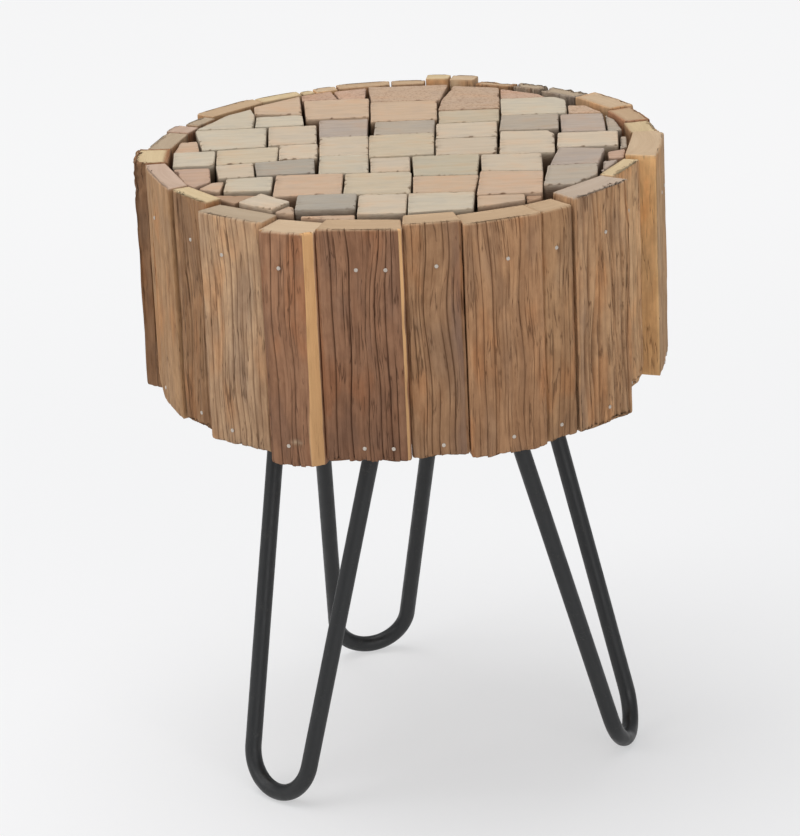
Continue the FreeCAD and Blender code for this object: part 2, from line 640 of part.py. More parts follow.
def leg_angles(sheet):
    """Angle of every leg, spaced evenly round the table."""
    first = number(sheet, "Sizes.leg_start_angle")
    return [first + FULL_TURN * index / LEG_COUNT for index in range(LEG_COUNT)]


def copies(doc, name, template, placements):
    """Separate copies of one fastener, or of the hole that it needs."""
    shapes = []
    for placement in placements:
        shape = template.Shape.copy()
        shape.Placement = placement.multiply(template.Shape.Placement)
        shapes.append(shape)
    group = doc.addObject("Part::Feature", name)
    group.Shape = Part.makeCompound(shapes)
    return group


def board_corner(first, second):
    """Where the flats behind two neighbouring planks meet, from the angles that they face."""
    flats = [flat_reach("Derived.board_radius", angle) for angle in (first, second)]
    sines = [math.sin(math.radians(angle)) for angle in (first, second)]
    cosines = [math.cos(math.radians(angle)) for angle in (first, second)]
    turn = math.sin(math.radians(second - first))
    return (
        f"({flats[0]} * {sines[1] / turn:.6f} - {flats[1]} * {sines[0] / turn:.6f})",
        f"({flats[1]} * {cosines[0] / turn:.6f} - {flats[0]} * {cosines[1] / turn:.6f})",
    )


def make_board(doc, name, bottom, thickness, holes):
    """A board sawn to a flat behind every plank, drilled for the fasteners that enter it."""
    body = doc.addObject("PartDesign::Body", f"{name}_blank")
    outline = new_sketch(body, "outline", "XY_Plane", bottom)
    facing = [(start + end) / 2 for start, end in stave_angles(outline)]
    closed_outline(outline, [board_corner(*pair) for pair in zip(facing, facing[1:] + facing[:1])])
    pad(body, outline, "board", thickness)
    return drilled(doc, name, body, holes)


def make_table(doc):
    """Every sub-part of the table, in the order in which it is put together."""
    make_sheet(doc, "Sizes", SIZES)
    derived = make_sheet(doc, "Derived", DERIVED, as_formula=True)
    screw, pilot = make_screw(doc)
    nail, nail_hole = make_nail(doc)
    doc.recompute()
    upper = nail_placements(derived, "upper_nail_height")
    lower = nail_placements(derived, "lower_nail_height")
    screws = screw_placements(derived)
    upper_holes = copies(doc, "upper_nail_holes", nail_hole, upper)
    lower_holes = copies(doc, "lower_nail_holes", nail_hole, lower)
    pilots = copies(doc, "screw_pilots", pilot, screws)
    parts = [
        make_board(doc, "base_board", "Derived.base_bottom", "Sizes.base_thickness", [lower_holes, pilots]),
        make_board(doc, "deck_board", "Derived.deck_bottom", "Sizes.deck_thickness", [upper_holes]),
    ]
    for index, angle in enumerate(leg_angles(derived), start=1):
        parts.append(make_post(doc, f"spacer_post_{index}", angle + FULL_TURN / LEG_COUNT / 2))
        parts.append(make_leg(doc, f"hairpin_leg_{index}", angle))
        parts.append(make_plate(doc, f"leg_plate_{index}", angle, [pilots]))
    parts.append(copies(doc, "leg_screws", screw, screws))
    for index, (row, span) in enumerate(zip(STAVE_SHARES, stave_angles(derived)), start=1):
        parts.append(make_stave(doc, index, row, span))
    parts.append(copies(doc, "upper_nails", nail, upper))
    parts.append(copies(doc, "lower_nails", nail, lower))
    for index, row in enumerate(BLOCK_ROW_SHARES, start=1):
        parts.append(make_block_row(doc, index, row))
    doc.recompute()
    return parts


def check(doc, parts):
    """Stop if any object failed or any sub-part has no sound shape."""
    for item in doc.Objects:
        if "Invalid" in item.State or "Error" in item.State:
            raise RuntimeError(f"{item.Label} failed: {item.State}")
    for part in parts:
        if part.Shape.isNull() or not part.Shape.isValid():
            raise RuntimeError(f"{part.Label} has no valid shape")


def main():
    doc = FreeCAD.newDocument("side_table")
    parts = make_table(doc)
    check(doc, parts)
    os.makedirs("parts", exist_ok=True)
    for part in parts:
        part.Shape.exportStep(os.path.join("parts", f"{part.Label}.step"))
    solids = sum(len(part.Shape.Solids) for part in parts)
    print(f"{len(parts)} sub-parts, {solids} solids")


main()
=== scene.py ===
# %% [markdown]
# # A side table of weathered boards on hairpin legs
# The real table is a drum of old boards, stood on end and nailed round two round boards. Its top
# is a mosaic of small offcuts, and three black rods, each bent like a hairpin, carry it. The solids
# of every piece are already made. This lesson gives them the wood, the wear and the light.
# We load the solids first, because every new piece takes its place and its size from them.

# %% Load the solids
import json
import math
import bmesh
import bpy
import numpy as np
from mathutils import Matrix, Vector, bvhtree, geometry, noise


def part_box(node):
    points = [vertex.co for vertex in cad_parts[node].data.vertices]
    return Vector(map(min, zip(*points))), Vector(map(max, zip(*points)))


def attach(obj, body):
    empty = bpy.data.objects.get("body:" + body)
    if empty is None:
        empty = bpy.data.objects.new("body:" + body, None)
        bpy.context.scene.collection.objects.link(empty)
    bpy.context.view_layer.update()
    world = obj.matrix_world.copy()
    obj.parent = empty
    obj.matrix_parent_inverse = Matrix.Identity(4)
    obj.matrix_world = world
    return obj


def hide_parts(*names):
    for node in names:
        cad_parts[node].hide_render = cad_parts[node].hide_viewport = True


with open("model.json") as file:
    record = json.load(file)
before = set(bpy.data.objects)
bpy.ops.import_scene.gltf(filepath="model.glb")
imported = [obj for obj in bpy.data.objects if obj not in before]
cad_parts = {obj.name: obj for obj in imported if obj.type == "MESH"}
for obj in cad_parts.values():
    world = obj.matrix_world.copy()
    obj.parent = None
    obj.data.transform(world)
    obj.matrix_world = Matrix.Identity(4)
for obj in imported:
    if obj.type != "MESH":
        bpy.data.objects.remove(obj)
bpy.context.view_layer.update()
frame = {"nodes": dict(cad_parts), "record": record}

nodes = frame["nodes"]
slot_of = {part["node"]: part["material_slot"] for part in frame["record"]["subparts"]}

# %% [markdown]
# ## The camera
# A long lens far away keeps the boards upright and the legs slim, and a short lens close by would
# make them lean. The photograph has little of that lean, so the lens is long and stands over two
# metres off. The camera also tips a little to one side, as a camera held by hand does. Turning about
# the upright axis, then tilting down, then rolling gives three numbers that are easy to adjust.

# %% Stand the camera where the photograph was taken
CAMERA_PLACE = (0.0413, -2.3731, 1.1003)
PAN, TILT_DOWN, ROLL = 1.2, 19.78, -2.62
LENS_MM, SENSOR_MM = 150.1, 36.0
lens = bpy.data.cameras.new("photo_camera")
camera = bpy.data.objects.new("photo_camera", lens)
bpy.context.scene.collection.objects.link(camera)
lens.sensor_width = SENSOR_MM
lens.lens = LENS_MM
pan = Matrix.Rotation(math.radians(PAN), 4, "Z")
tilt = Matrix.Rotation(math.radians(90 - TILT_DOWN), 4, "X")
roll = Matrix.Rotation(math.radians(ROLL), 4, "Z")
camera.matrix_world = Matrix.Translation(CAMERA_PLACE) @ pan @ tilt @ roll
bpy.context.scene.camera = camera
bpy.context.scene.view_settings.view_transform = "Standard"
print("camera at", tuple(round(v, 3) for v in camera.location), "lens", round(lens.lens, 1))

# %% [markdown]
# ## Small tools for materials
# A material in Blender is a small network of nodes. Adding each node by hand takes four or five lines,
# so we keep a few short tools: one adds a node, fills its sockets or joins them to other nodes, and
# the others make the mixes and the noises that every finish of this table needs.

# %% Tools that add nodes to a finish
def add(tree, kind, sockets, **settings):
    """Adds one node, with its settings, and fills or joins its sockets."""
    made = tree.nodes.new("ShaderNode" + kind)
    for name, value in settings.items():
        setattr(made, name, value)
    for name, value in sockets.items():
        join(tree, value, made.inputs[name])
    return made


def join(tree, value, socket):
    """Joins an output to a socket, or writes a plain value in it."""
    if isinstance(value, bpy.types.NodeSocket):
        tree.links.new(value, socket)
    else:
        socket.default_value = value


def new_finish(name):
    """A fresh material, its network and its main shader."""
    finish = bpy.data.materials.new(name)
    finish.use_nodes = True
    return finish, finish.node_tree, finish.node_tree.nodes["Principled BSDF"]


def paint(red, green, blue):
    """A colour as a screen shows it, from 0 to 255, as the light that Blender reckons with."""
    shares = [v / 255 for v in (red, green, blue)]
    return tuple(s / 12.92 if s <= 0.04045 else ((s + 0.055) / 1.055) ** 2.4 for s in shares) + (1.0,)


print("a screen grey of 128 is", round(paint(128, 128, 128)[0], 3), "in Blender's light")

# %% Tools that mix colours and stretch noise
def mix(tree, share, first, second, way="MIX"):
    """A colour between two others."""
    made = add(tree, "Mix", {0: share, 6: first, 7: second}, data_type="RGBA", blend_type=way)
    return made.outputs[2]


def tint(tree, colour, red, green, blue):
    """A colour with its red, green and blue each made weaker or stronger."""
    return mix(tree, 1.0, colour, (red, green, blue, 1.0), "MULTIPLY")


def sums(tree, way, first, second=0.0):
    """A small sum on two values."""
    return add(tree, "Math", {0: first, 1: second}, operation=way).outputs[0]


def levels(tree, value, low, high, to_low=0.0, to_high=1.0):
    """Spreads a narrow range of a value over a wider one, with soft ends."""
    sockets = {"Value": value, "From Min": low, "From Max": high, "To Min": to_low, "To Max": to_high}
    return add(tree, "MapRange", sockets, interpolation_type="SMOOTHSTEP").outputs[0]


def grainy(tree, place, across, along, detail=4.0):
    """Noise with so many waves to the metre across the grain, and fewer along it."""
    spread = add(tree, "Mapping", {"Vector": place, "Scale": (across, across, along)})
    sockets = {"Vector": spread.outputs[0], "Scale": 1.0, "Detail": detail, "Roughness": 0.6}
    return add(tree, "TexNoise", sockets).outputs["Fac"]


def mark(tree, name, output):
    """A value, a place or a colour that the mesh keeps at each of its points."""
    return add(tree, "Attribute", {}, attribute_name=name).outputs[output]


def bumped(tree, shader, height, depth, strength):
    """Lets a height from 0 to 1 tilt the shading, as if it were so many metres deep."""
    bump = add(tree, "Bump", {"Height": height, "Distance": depth, "Strength": strength})
    tree.links.new(bump.outputs[0], shader.inputs["Normal"])


print("material tools ready")

# %% [markdown]
# ## Floor and light
# The photograph was taken on a white floor under large soft lamps, so shadows are faint. One wide
# sheet is enough for the floor. To keep it white without flooding the wood with light, its material
# glows a little for the camera, in reflections and through glass, by way of the Light Path node, and
# the rest of it is plain white paint that still takes the table's shadow. The glow is weaker in front
# of the table and stronger behind it and far away, where the photograph fades to white. The sky is
# white for the camera and through glass, and a softer light for the rest.

# %% Lay the floor
FLOOR_SIZE = 14.0
GLOW_IN_FRONT, GLOW_BEHIND = 0.44, 0.92
bpy.ops.mesh.primitive_grid_add(x_subdivisions=8, y_subdivisions=8, size=FLOOR_SIZE, location=(0, 0, 0))
floor = bpy.context.object
floor.name = "studio_floor"
floor_finish, tree, shader = new_finish("white_floor")
seen = add(tree, "LightPath", {})
glow = add(tree, "Emission", {"Color": (0.95, 0.95, 0.955, 1.0), "Strength": 1.0})
shader.inputs["Base Color"].default_value = (0.86, 0.86, 0.865, 1.0)
shader.inputs["Roughness"].default_value = 0.75
shader.inputs["Specular IOR Level"].default_value = 0.1
direct = sums(tree, "MAXIMUM", seen.outputs["Is Camera Ray"], seen.outputs["Is Glossy Ray"])
direct = sums(tree, "MAXIMUM", direct, seen.outputs["Is Transmission Ray"])
here = add(tree, "NewGeometry", {}).outputs["Position"]
depth = add(tree, "SeparateXYZ", {0: here}).outputs["Y"]
distance = add(tree, "VectorMath", {0: here}, operation="LENGTH").outputs["Value"]
by_depth = levels(tree, depth, -0.5, 1.6, GLOW_IN_FRONT, GLOW_BEHIND)
by_distance = levels(tree, distance, 0.7, 2.4, 0.0, GLOW_BEHIND)
share = sums(tree, "MULTIPLY", direct, sums(tree, "MAXIMUM", by_depth, by_distance))
both = add(tree, "MixShader", {0: share, 1: shader.outputs[0], 2: glow.outputs[0]})
tree.links.new(both.outputs[0], tree.nodes["Material Output"].inputs["Surface"])
floor.data.materials.append(floor_finish)
print("floor laid,", tuple(round(v, 1) for v in floor.dimensions), "m")

# %% Hang the sky and the lamps
SKY_LIGHT = 0.42
LAMP_TARGET = Vector((0, 0, 0.35))
world = bpy.data.worlds.new("studio_sky")
bpy.context.scene.world = world
world.use_nodes = True
tree = world.node_tree
soft = tree.nodes["Background"]
soft.inputs["Color"].default_value = (0.95, 0.97, 1.0, 1.0)
soft.inputs["Strength"].default_value = SKY_LIGHT
white = add(tree, "Background", {"Color": (1.0, 1.0, 1.0, 1.0), "Strength": 1.0})
seen = add(tree, "LightPath", {})
direct = sums(tree, "MAXIMUM", seen.outputs["Is Camera Ray"], seen.outputs["Is Transmission Ray"])
both = add(tree, "MixShader", {0: direct, 1: soft.outputs[0], 2: white.outputs[0]})
tree.links.new(both.outputs[0], tree.nodes["World Output"].inputs["Surface"])


def hang_lamp(name, place, size, watts):
    """A soft square lamp that faces the drum."""
    light = bpy.data.lights.new(name, "AREA")
    light.size = size
    light.energy = watts
    lamp = bpy.data.objects.new(name, light)
    bpy.context.scene.collection.objects.link(lamp)
    lamp.location = place
    lamp.rotation_euler = (LAMP_TARGET - Vector(place)).to_track_quat("-Z", "Y").to_euler()


hang_lamp("overhead_softbox", (-0.4, 0.1, 2.6), 2.0, 38)
hang_lamp("left_window", (-2.3, -0.9, 1.5), 1.6, 17)
hang_lamp("front_fill", (1.2, -2.8, 1.3), 2.0, 24)
print("lamps hung")

# %% [markdown]
# ## Small tools for meshes
# Old wood has no straight line in it, so each board is woven from rings of points that we can push in
# and out. Blender's noise module gives the pushes: it is smooth, and it is the same on every run. A
# second tool stacks the rings into a closed skin, from the middle of the lower end to the middle of
# the upper end, and a third joins several skins in one. The last ones turn a skin into an object that
# stands for its solid, and keep extra values at each point, such as how far a crack is open there, so
# that the finish can follow the carving.

# %% Tools that shape a piece
SEED_STEP, NOISE_GAIN = 7.31, 1.6


def wander(seed, *places):
    """Smooth noise, mostly between -1 and 1, at arrays of places."""
    spread = np.broadcast_arrays(*places)
    rows = [np.ravel(p) for p in spread]
    rows += [np.zeros_like(rows[0])] * (2 - len(rows))
    shift = seed * SEED_STEP
    values = [noise.noise((a + shift, b - shift, shift)) for a, b in zip(rows[0], rows[1])]
    return np.array(values).reshape(spread[0].shape) * NOISE_GAIN


def stacked_skin(rings, first=0):
    """Points and faces of a closed skin, from rings that turn left seen from above, lowest first."""
    round_count = len(rings[0])
    points = np.vstack([*rings, rings[0].mean(axis=0), rings[-1].mean(axis=0)])
    here = np.arange(round_count)
    after = (here + 1) % round_count
    faces = []
    for ring in range(len(rings) - 1):
        low = first + ring * round_count
        up = low + round_count
        faces += np.c_[low + here, low + after, up + after, up + here].tolist()
    low_middle = first + len(points) - 2
    up = first + (len(rings) - 1) * round_count
    faces += np.c_[first + after, first + here, np.full(round_count, low_middle)].tolist()
    faces += np.c_[up + here, up + after, np.full(round_count, low_middle + 1)].tolist()
    return points, faces


def joined_skins(stacks):
    """Several closed skins as one array of points and one list of faces."""
    points, faces = [], []
    for rings in stacks:
        new_points, new_faces = stacked_skin(rings, sum(len(p) for p in points))
        points.append(new_points)
        faces += new_faces
    return np.vstack(points), faces


def stacked_marks(rows):
    """Values kept with the rings, and with the two middles that close the skin."""
    return np.concatenate([*rows, rows[0].mean(axis=0)[None], rows[-1].mean(axis=0)[None]])


print("shaping tools ready")

# %% Tools that make a piece
def make_piece(name, points, faces, marks, finish):
    """A smooth mesh object that rides on the table, with its marks kept at each point."""
    mesh = bpy.data.meshes.new(name)
    mesh.from_pydata(points.tolist(), [], faces)
    kinds = {1: ("FLOAT", "value"), 3: ("FLOAT_VECTOR", "vector"), 4: ("FLOAT_COLOR", "color")}
    for mark_name, values in marks.items():
        kind, field = kinds[values.size // len(points)]
        layer = mesh.attributes.new(mark_name, kind, "POINT")
        layer.data.foreach_set(field, values.astype(np.float32).ravel())
    mesh.shade_smooth()
    mesh.materials.append(finish)
    piece = bpy.data.objects.new(name, mesh)
    bpy.context.scene.collection.objects.link(piece)
    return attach(piece, "root")


def stands_for(piece, *names):
    """Hides the solids that a piece takes the place of."""
    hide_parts(*names)
    return piece


print("making tools ready")

# %% [markdown]
# ## The finish of the boards
# The boards are old and have stood in the weather. Sun and rain took the soft part of the grain away,
# so the face is brown or grey, streaked along the board and split by dark cracks. Where the maker
# sawed or sanded, the wood under that skin is light and yellow. So the finish has two woods in it, and
# marks on the mesh say where each one shows. The mark fresh is 1 on sawn wood, and the mark bare is
# the colour of that wood. The mark crack is high in the splits, and in the valleys of a ridged face,
# where it is painted shade. The mark damp grows to the lower end and paints shade there, as
# less light reaches the foot, and the mark stain is a grey run down the face. The mark end is 1 on end
# grain, where no long streaks can run. Noise stretched along the board gives the streaks, and the line
# where noise crosses its middle value gives hair-thin checks.

# %% Skin, checks and sawn wood
def skin_colour(tree, skin, grain, streaks, streak):
    """The weathered skin: streaks, patches that are warmer or greyer, and small mottles."""
    dark = tint(tree, skin, 0.74, 0.69, 0.66)
    light = tint(tree, skin, 1.12, 1.12, 1.10)
    colour = mix(tree, levels(tree, streaks, 0.5 - 0.2 / streak, 0.5 + 0.2 / streak), dark, light)
    patch = grainy(tree, grain, 38.0, 14.0, 2.0)
    warm = tint(tree, colour, 1.10, 0.98, 0.87)
    grey = tint(tree, colour, 0.88, 0.91, 0.97)
    colour = mix(tree, levels(tree, patch, 0.52, 0.66), colour, warm)
    colour = mix(tree, levels(tree, patch, 0.34, 0.48, 1.0, 0.0), colour, grey)
    mottle = levels(tree, grainy(tree, grain, 170.0, 70.0, 3.0), 0.36, 0.64)
    dull = tint(tree, colour, 0.87, 0.85, 0.83)
    bright = tint(tree, colour, 1.05, 1.05, 1.04)
    return mix(tree, mottle, dull, bright)


def hair_checks(tree, grain, end):
    """Thin dark lines that come and go along the grain, and stay off the end grain."""
    bands = grainy(tree, grain, 270.0, 15.0, 2.0)
    off_middle = sums(tree, "ABSOLUTE", sums(tree, "SUBTRACT", bands, 0.5))
    lines = levels(tree, off_middle, 0.0, 0.026, 1.0, 0.0)
    lines = sums(tree, "MULTIPLY", lines, levels(tree, grainy(tree, grain, 110.0, 34.0), 0.47, 0.56))
    return sums(tree, "MULTIPLY", lines, sums(tree, "SUBTRACT", 1.0, end))


def sawn_wood(tree, grain, skin, streaks, end):
    """Light wood under the skin, with soft streaks, and dark pores where the grain ends."""
    sawn = mark(tree, "bare", "Color")
    dark = tint(tree, sawn, 0.82, 0.77, 0.72)
    colour = mix(tree, levels(tree, streaks, 0.3, 0.7, 0.0, 0.7), sawn, dark)
    pores = levels(tree, grainy(tree, grain, 1700.0, 1200.0, 2.0), 0.55, 0.72, 0.0, 0.30)
    return mix(tree, sums(tree, "MULTIPLY", pores, levels(tree, end, 0.0, 1.0, 0.5, 1.0)), colour, skin)


print("skin, checks and sawn wood ready")

# %% Weathered board
def weathered_board(name, streak, rough):
    """Old board with streaks and bumps of a given strength."""
    finish, tree, shader = new_finish(name)
    grain = mark(tree, "grain", "Vector")
    skin = mark(tree, "skin", "Color")
    end = mark(tree, "end", "Fac")
    bands = grainy(tree, grain, 120.0, 8.0, 3.0)
    fine = grainy(tree, grain, 430.0, 32.0)
    streaks = sums(tree, "ADD", sums(tree, "MULTIPLY", bands, 0.55), sums(tree, "MULTIPLY", fine, 0.45))
    fibres = grainy(tree, grain, 1500.0, 130.0, 3.0)
    checks = hair_checks(tree, grain, end)
    deep = tint(tree, skin, 0.30, 0.24, 0.20)
    colour = skin_colour(tree, skin, grain, streaks, streak)
    colour = mix(tree, sums(tree, "MULTIPLY", checks, 0.75), colour, deep)
    colour = mix(tree, mark(tree, "stain", "Fac"), colour, paint(122, 98, 88))
    frayed = sums(tree, "MULTIPLY", sums(tree, "SUBTRACT", fibres, 0.5), 0.5)
    edge = sums(tree, "ADD", mark(tree, "fresh", "Fac"), frayed)
    sawn = sawn_wood(tree, grain, skin, streaks, end)
    colour = mix(tree, levels(tree, edge, 0.15, 0.85), colour, sawn)
    # The crack mark darkens the splits, and paints shade into the valleys between ridges.
    colour = mix(tree, mark(tree, "crack", "Fac"), colour, deep)
    # Painted shade: the mark read below darkens the foot of the board, as less light reaches it.
    shaded_colour = tint(tree, colour, 0.72, 0.70, 0.70)
    colour = mix(tree, mark(tree, "damp", "Fac"), colour, shaded_colour)
    tree.links.new(colour, shader.inputs["Base Color"])
    join(tree, levels(tree, streaks, 0.3, 0.7, 0.92, 0.74), shader.inputs["Roughness"])
    shader.inputs["Specular IOR Level"].default_value = 0.3
    height = sums(tree, "ADD", fine, sums(tree, "MULTIPLY", fibres, 0.5))
    height = sums(tree, "SUBTRACT", height, sums(tree, "MULTIPLY", checks, 0.7))
    bumped(tree, shader, height, 0.0010, rough)
    return finish


board_finish = {
    "plank_brown": weathered_board("weathered_brown_board", 1.1, 0.6),
    "plank_honey": weathered_board("worn_honey_board", 0.7, 0.35),
    "plank_tan": weathered_board("ridged_tan_board", 1.2, 0.7),
    "plank_grey": weathered_board("eroded_grey_board", 1.2, 0.8),
    "plank_pale": weathered_board("pale_sawn_board", 0.9, 0.5),
}
print(len(board_finish), "board finishes")

# %% [markdown]
# ## Reading one board from its solid
# Each board leans on its own side of the drum, so it is easiest to shape it lying flat: across is
# its width, out is its thickness and up is its length. The solid's top rim has six corners, and a
# notch for each main split. A line stretched round the rim touches the corners alone, which is what
# Blender's convex hull finds. The two corners nearest the middle of the drum lie on the flat back,
# and the line between them gives both directions. Points of the rim that lie below the face, between
# its corners, are the bottoms of the splits. The lower end is level, apart from the few boards that
# lost a corner.

# %% Measure a board
STRAIGHT = 0.02
FACE_MARGIN = 0.001
SHALLOWEST_SPLIT, DEEPEST_SPLIT = 0.0005, 0.006


def outer_corners(rim):
    """Corners of the stretched line round the rim, without the points along its straight sides."""
    hull = rim[geometry.convex_hull_2d([Vector(p) for p in rim])]
    before = hull - np.roll(hull, 1, axis=0)
    after = np.roll(hull, -1, axis=0) - hull
    bend = before[:, 0] * after[:, 1] - before[:, 1] * after[:, 0]
    return hull[np.abs(bend) > STRAIGHT * np.linalg.norm(before, axis=1) * np.linalg.norm(after, axis=1)]


def board_measures(name):
    """Directions, corners of the section from the back left, splits, height of the top, and lower end."""
    points = np.array([v.co for v in nodes[name].data.vertices])
    top = points[:, 2].max()
    rim = np.unique(points[points[:, 2] > top - 1e-5][:, :2].round(5), axis=0)
    hull = outer_corners(rim)
    middle = hull.mean(axis=0)
    back = hull[np.argsort(hull @ middle)[:2]]
    line = (back[1] - back[0]) / np.linalg.norm(back[1] - back[0])
    out = np.array([line[1], -line[0]])
    out *= np.sign(out @ middle)
    across = np.array([-out[1], out[0]])
    corners = np.c_[hull @ across, hull @ out]
    from_middle = corners - corners.mean(axis=0)
    turn = np.arctan2(from_middle[:, 1], from_middle[:, 0])
    corners = corners[np.argsort(-((turn + math.pi / 2) % (2 * math.pi)))]
    inside = np.c_[rim @ across, corners[2][1] - rim @ out]
    on_face = (inside[:, 0] > corners[2][0] + FACE_MARGIN) & (inside[:, 0] < corners[3][0] - FACE_MARGIN)
    splits = inside[on_face & (inside[:, 1] > SHALLOWEST_SPLIT) & (inside[:, 1] < DEEPEST_SPLIT)]
    wide, high = points[:, :2] @ across, points[:, 2]
    low = high.min()
    level = wide[high < low + 1e-4]
    left, right = high[wide < wide.min() + 5e-4].min(), high[wide > wide.max() - 5e-4].min()
    lower = ((wide.min(), level.min(), level.max(), wide.max()), (left, low, low, right))
    return across, out, corners, splits, top, lower


corners, splits = board_measures("stave_06")[2:4]
face_width = (corners[3] - corners[2])[0]
print("board 6 is", round(face_width * 1000, 1), "mm wide on its face, with", len(splits), "main splits")

# %% [markdown]
# ## How each board looks
# Boards are named by their place in the ring, starting at the left of the photograph and running
# along the front to the right. Each one has the colour of its skin. The rest is said only where the
# board differs from a plain one. Cracks and depth are how many small cracks it has and how deep they
# are, and rhythm is how often they open and close in a metre. Ridges is how far the face is worn into
# ridges, and deep ridges also get painted shade in their valleys. Crown is how round it is, ragged is
# how uneven its lower end is, and knobbly is how rough its broken upper end is. Sawn is how much bare
# wood shows on its left and right edge, and strip is how far a bare strip on the right widens to the
# foot. Top and edge are the colours of bare wood there, and sides is the colour of the narrow sides.
# The value damp is how much shade is painted on the foot. A stain has its place, from
# -1 to 1 across, and its strength. Wider is how far the face has swollen to the left and to the right,
# and a scar has its place across and its height above the foot. Lengths are in millimetres.

# %% Table of the boards
MM = 0.001


def look(skin, cracks=3, depth=1.0, ridges=0.4, sawn=(0.0, 0.0), stain=None, crown=0.3,
         ragged=1.0, knobbly=0.0, sides=None, top="wheat", edge="wheat", strip=0.0, rhythm=18,
         damp=0.6, wider=(0.0, 0.0), scar=None):
    """The looks of one board under plain names."""
    return dict(skin=skin, cracks=cracks, depth=depth, ridges=ridges, sawn=sawn, stain=stain, crown=crown,
                ragged=ragged, knobbly=knobbly, sides=sides or skin, top=top, edge=edge, strip=strip,
                rhythm=rhythm, damp=damp, wider=wider, scar=scar)


skins = {
    "crust": paint(138, 103, 74), "orange": paint(180, 142, 104), "tan": paint(163, 125, 91),
    "grey tan": paint(195, 160, 126), "red brown": paint(162, 120, 91), "dark red": paint(151, 111, 84),
    "brown": paint(172, 133, 99), "amber": paint(184, 141, 104), "dun": paint(180, 140, 103),
    "golden": paint(201, 160, 121), "straw": paint(200, 163, 124), "honey": paint(224, 179, 126),
    "silver": paint(160, 143, 125), "rust": paint(172, 124, 92), "pale": paint(196, 168, 136),
    "blond": paint(216, 177, 136),
}
bare_woods = {
    "wheat": paint(190, 162, 130), "buff": paint(201, 176, 146), "ash": paint(177, 158, 134),
    "cream": paint(198, 173, 143), "rosy": paint(190, 165, 146), "lemon": paint(206, 184, 146),
    "apricot": paint(229, 180, 126), "pewter": paint(187, 169, 151),
}
boards = {
    1: look("crust", 3, 1.4, 1.2, knobbly=1.5, top="lemon", damp=0.0),
    2: look("orange", 1, 0.8, 0.3, crown=1.6, top="rosy", damp=0.0),
    3: look("tan", 5, 1.0, 1.0, ragged=1.5, top="lemon"),
    4: look("grey tan", 16, 0.8, 0.4, ragged=2.0, top="ash"),
    5: look("red brown", 8, 0.8, 0.2, sawn=(0.0, 1.0), strip=0.2, crown=0.6, ragged=1.6, top="buff",
            edge="apricot", damp=0.9, scar=(0.2, 18)),
    6: look("dark red", 22, 1.6, 0.4, sawn=(0.0, 0.9), ragged=2.4, edge="apricot", damp=0.9,
            wider=(0.0, 0.6)),
    7: look("brown", 11, 1.4, 0.4, stain=(0.85, 0.38), ragged=2.4, rhythm=24, wider=(0.7, 0.3)),
    8: look("amber", 15, 1.0, 0.4, ragged=2.2, rhythm=28, wider=(0.2, 0.0)),
    9: look("dun", 6, 0.7, 0.3, ragged=1.8, rhythm=26),
    10: look("golden", 16, 3.4, 2.6, stain=(-0.85, 0.18), ragged=2.6, top="pewter", rhythm=14),
    11: look("blond", 6, 2.2, 1.6, sawn=(0.2, 0.0), ragged=0.4, top="lemon", edge="cream", rhythm=14),
    12: look("straw", 3, 0.6, 0.5, crown=0.9, sides="honey", top="cream"),
    13: look("tan", 8, 1.2, 1.2, top="lemon", knobbly=0.3),
    14: look("rust", 8, 1.2, 0.5, knobbly=0.5),
    15: look("straw", 6, 1.2, sawn=(0.4, 0.0), top="cream", knobbly=0.5),
    16: look("silver", 6, 2.0, 1.6, ragged=2.4, knobbly=1.8, top="ash"),
    17: look("silver", 4, 2.0, 1.8, ragged=2.4, knobbly=2.4, top="ash"),
    18: look("tan", 4, 1.2, 0.8, knobbly=1.6),
    19: look("pale", 2, 0.8, sawn=(0.0, 0.3), top="cream", edge="cream"),
    20: look("straw", 2, 0.8, sawn=(0.3, 0.0), top="lemon"),
    21: look("brown", 8, 1.4, 0.5, rhythm=24),
    22: look("amber", 10, 1.2, 0.5, sawn=(0.0, 0.6), edge="apricot"),
    23: look("honey", 1, 0.6, top="cream"),
    24: look("tan", 5, 0.8, top="lemon"),
    25: look("pale", 4, 1.0, 0.5, sawn=(0.0, 0.5), top="lemon", edge="cream"),
    26: look("orange", 9, 1.3, ragged=1.6),
    27: look("tan", 3, 1.0, 0.9, top="ash"),
    28: look("dark red", 7, 1.4, 0.7, top="rosy"),
    29: look("grey tan", 7, 1.2, 0.8, top="ash"),
}
print(len(boards), "boards in", len(skins), "colours of skin and", len(bare_woods), "of bare wood")

# %% [markdown]
# ## Columns round a board
# A crack that cuts across a grid of points comes out as a staircase. So the columns of points
# follow the grain: the whole grid sways from side to side as the grain does, and each crack gets
# three columns of its own, with the middle one pushed deep. Other columns fill the space between.
# The columns run right round the board: up the left side, over the left bevel, across the face,
# over the right bevel, down the right side and back along the flat inside.

# %% Place the cracks
SPLIT_HALF_WIDTH = 0.0007
CRACK_CLEAR = 0.0024


def place_cracks(middle, half, count, depth, splits, dice):
    """Rows of place, depth, half width, and 1 for a main split or 0 for a small crack clear of it."""
    even = np.linspace(-half, half, count + 2)[1:-1]
    small = middle + even + dice.uniform(-0.36, 0.36, count) * (2 * half / (count + 1))
    rows = [(place, deep, SPLIT_HALF_WIDTH, 1.0) for place, deep in splits]
    for place in small:
        if all(abs(place - other[0]) > CRACK_CLEAR for other in rows):
            half_width = dice.uniform(0.0003, 0.0005) * max(1.0, depth / 2)
            rows.append((place, depth * MM * dice.uniform(0.5, 1.1), half_width, 0.0))
    return np.array(rows)


trial = place_cracks(0.0, 0.02, 14, 1.6, splits, np.random.default_rng(6))
print(len(trial), "cracks on a trial face")

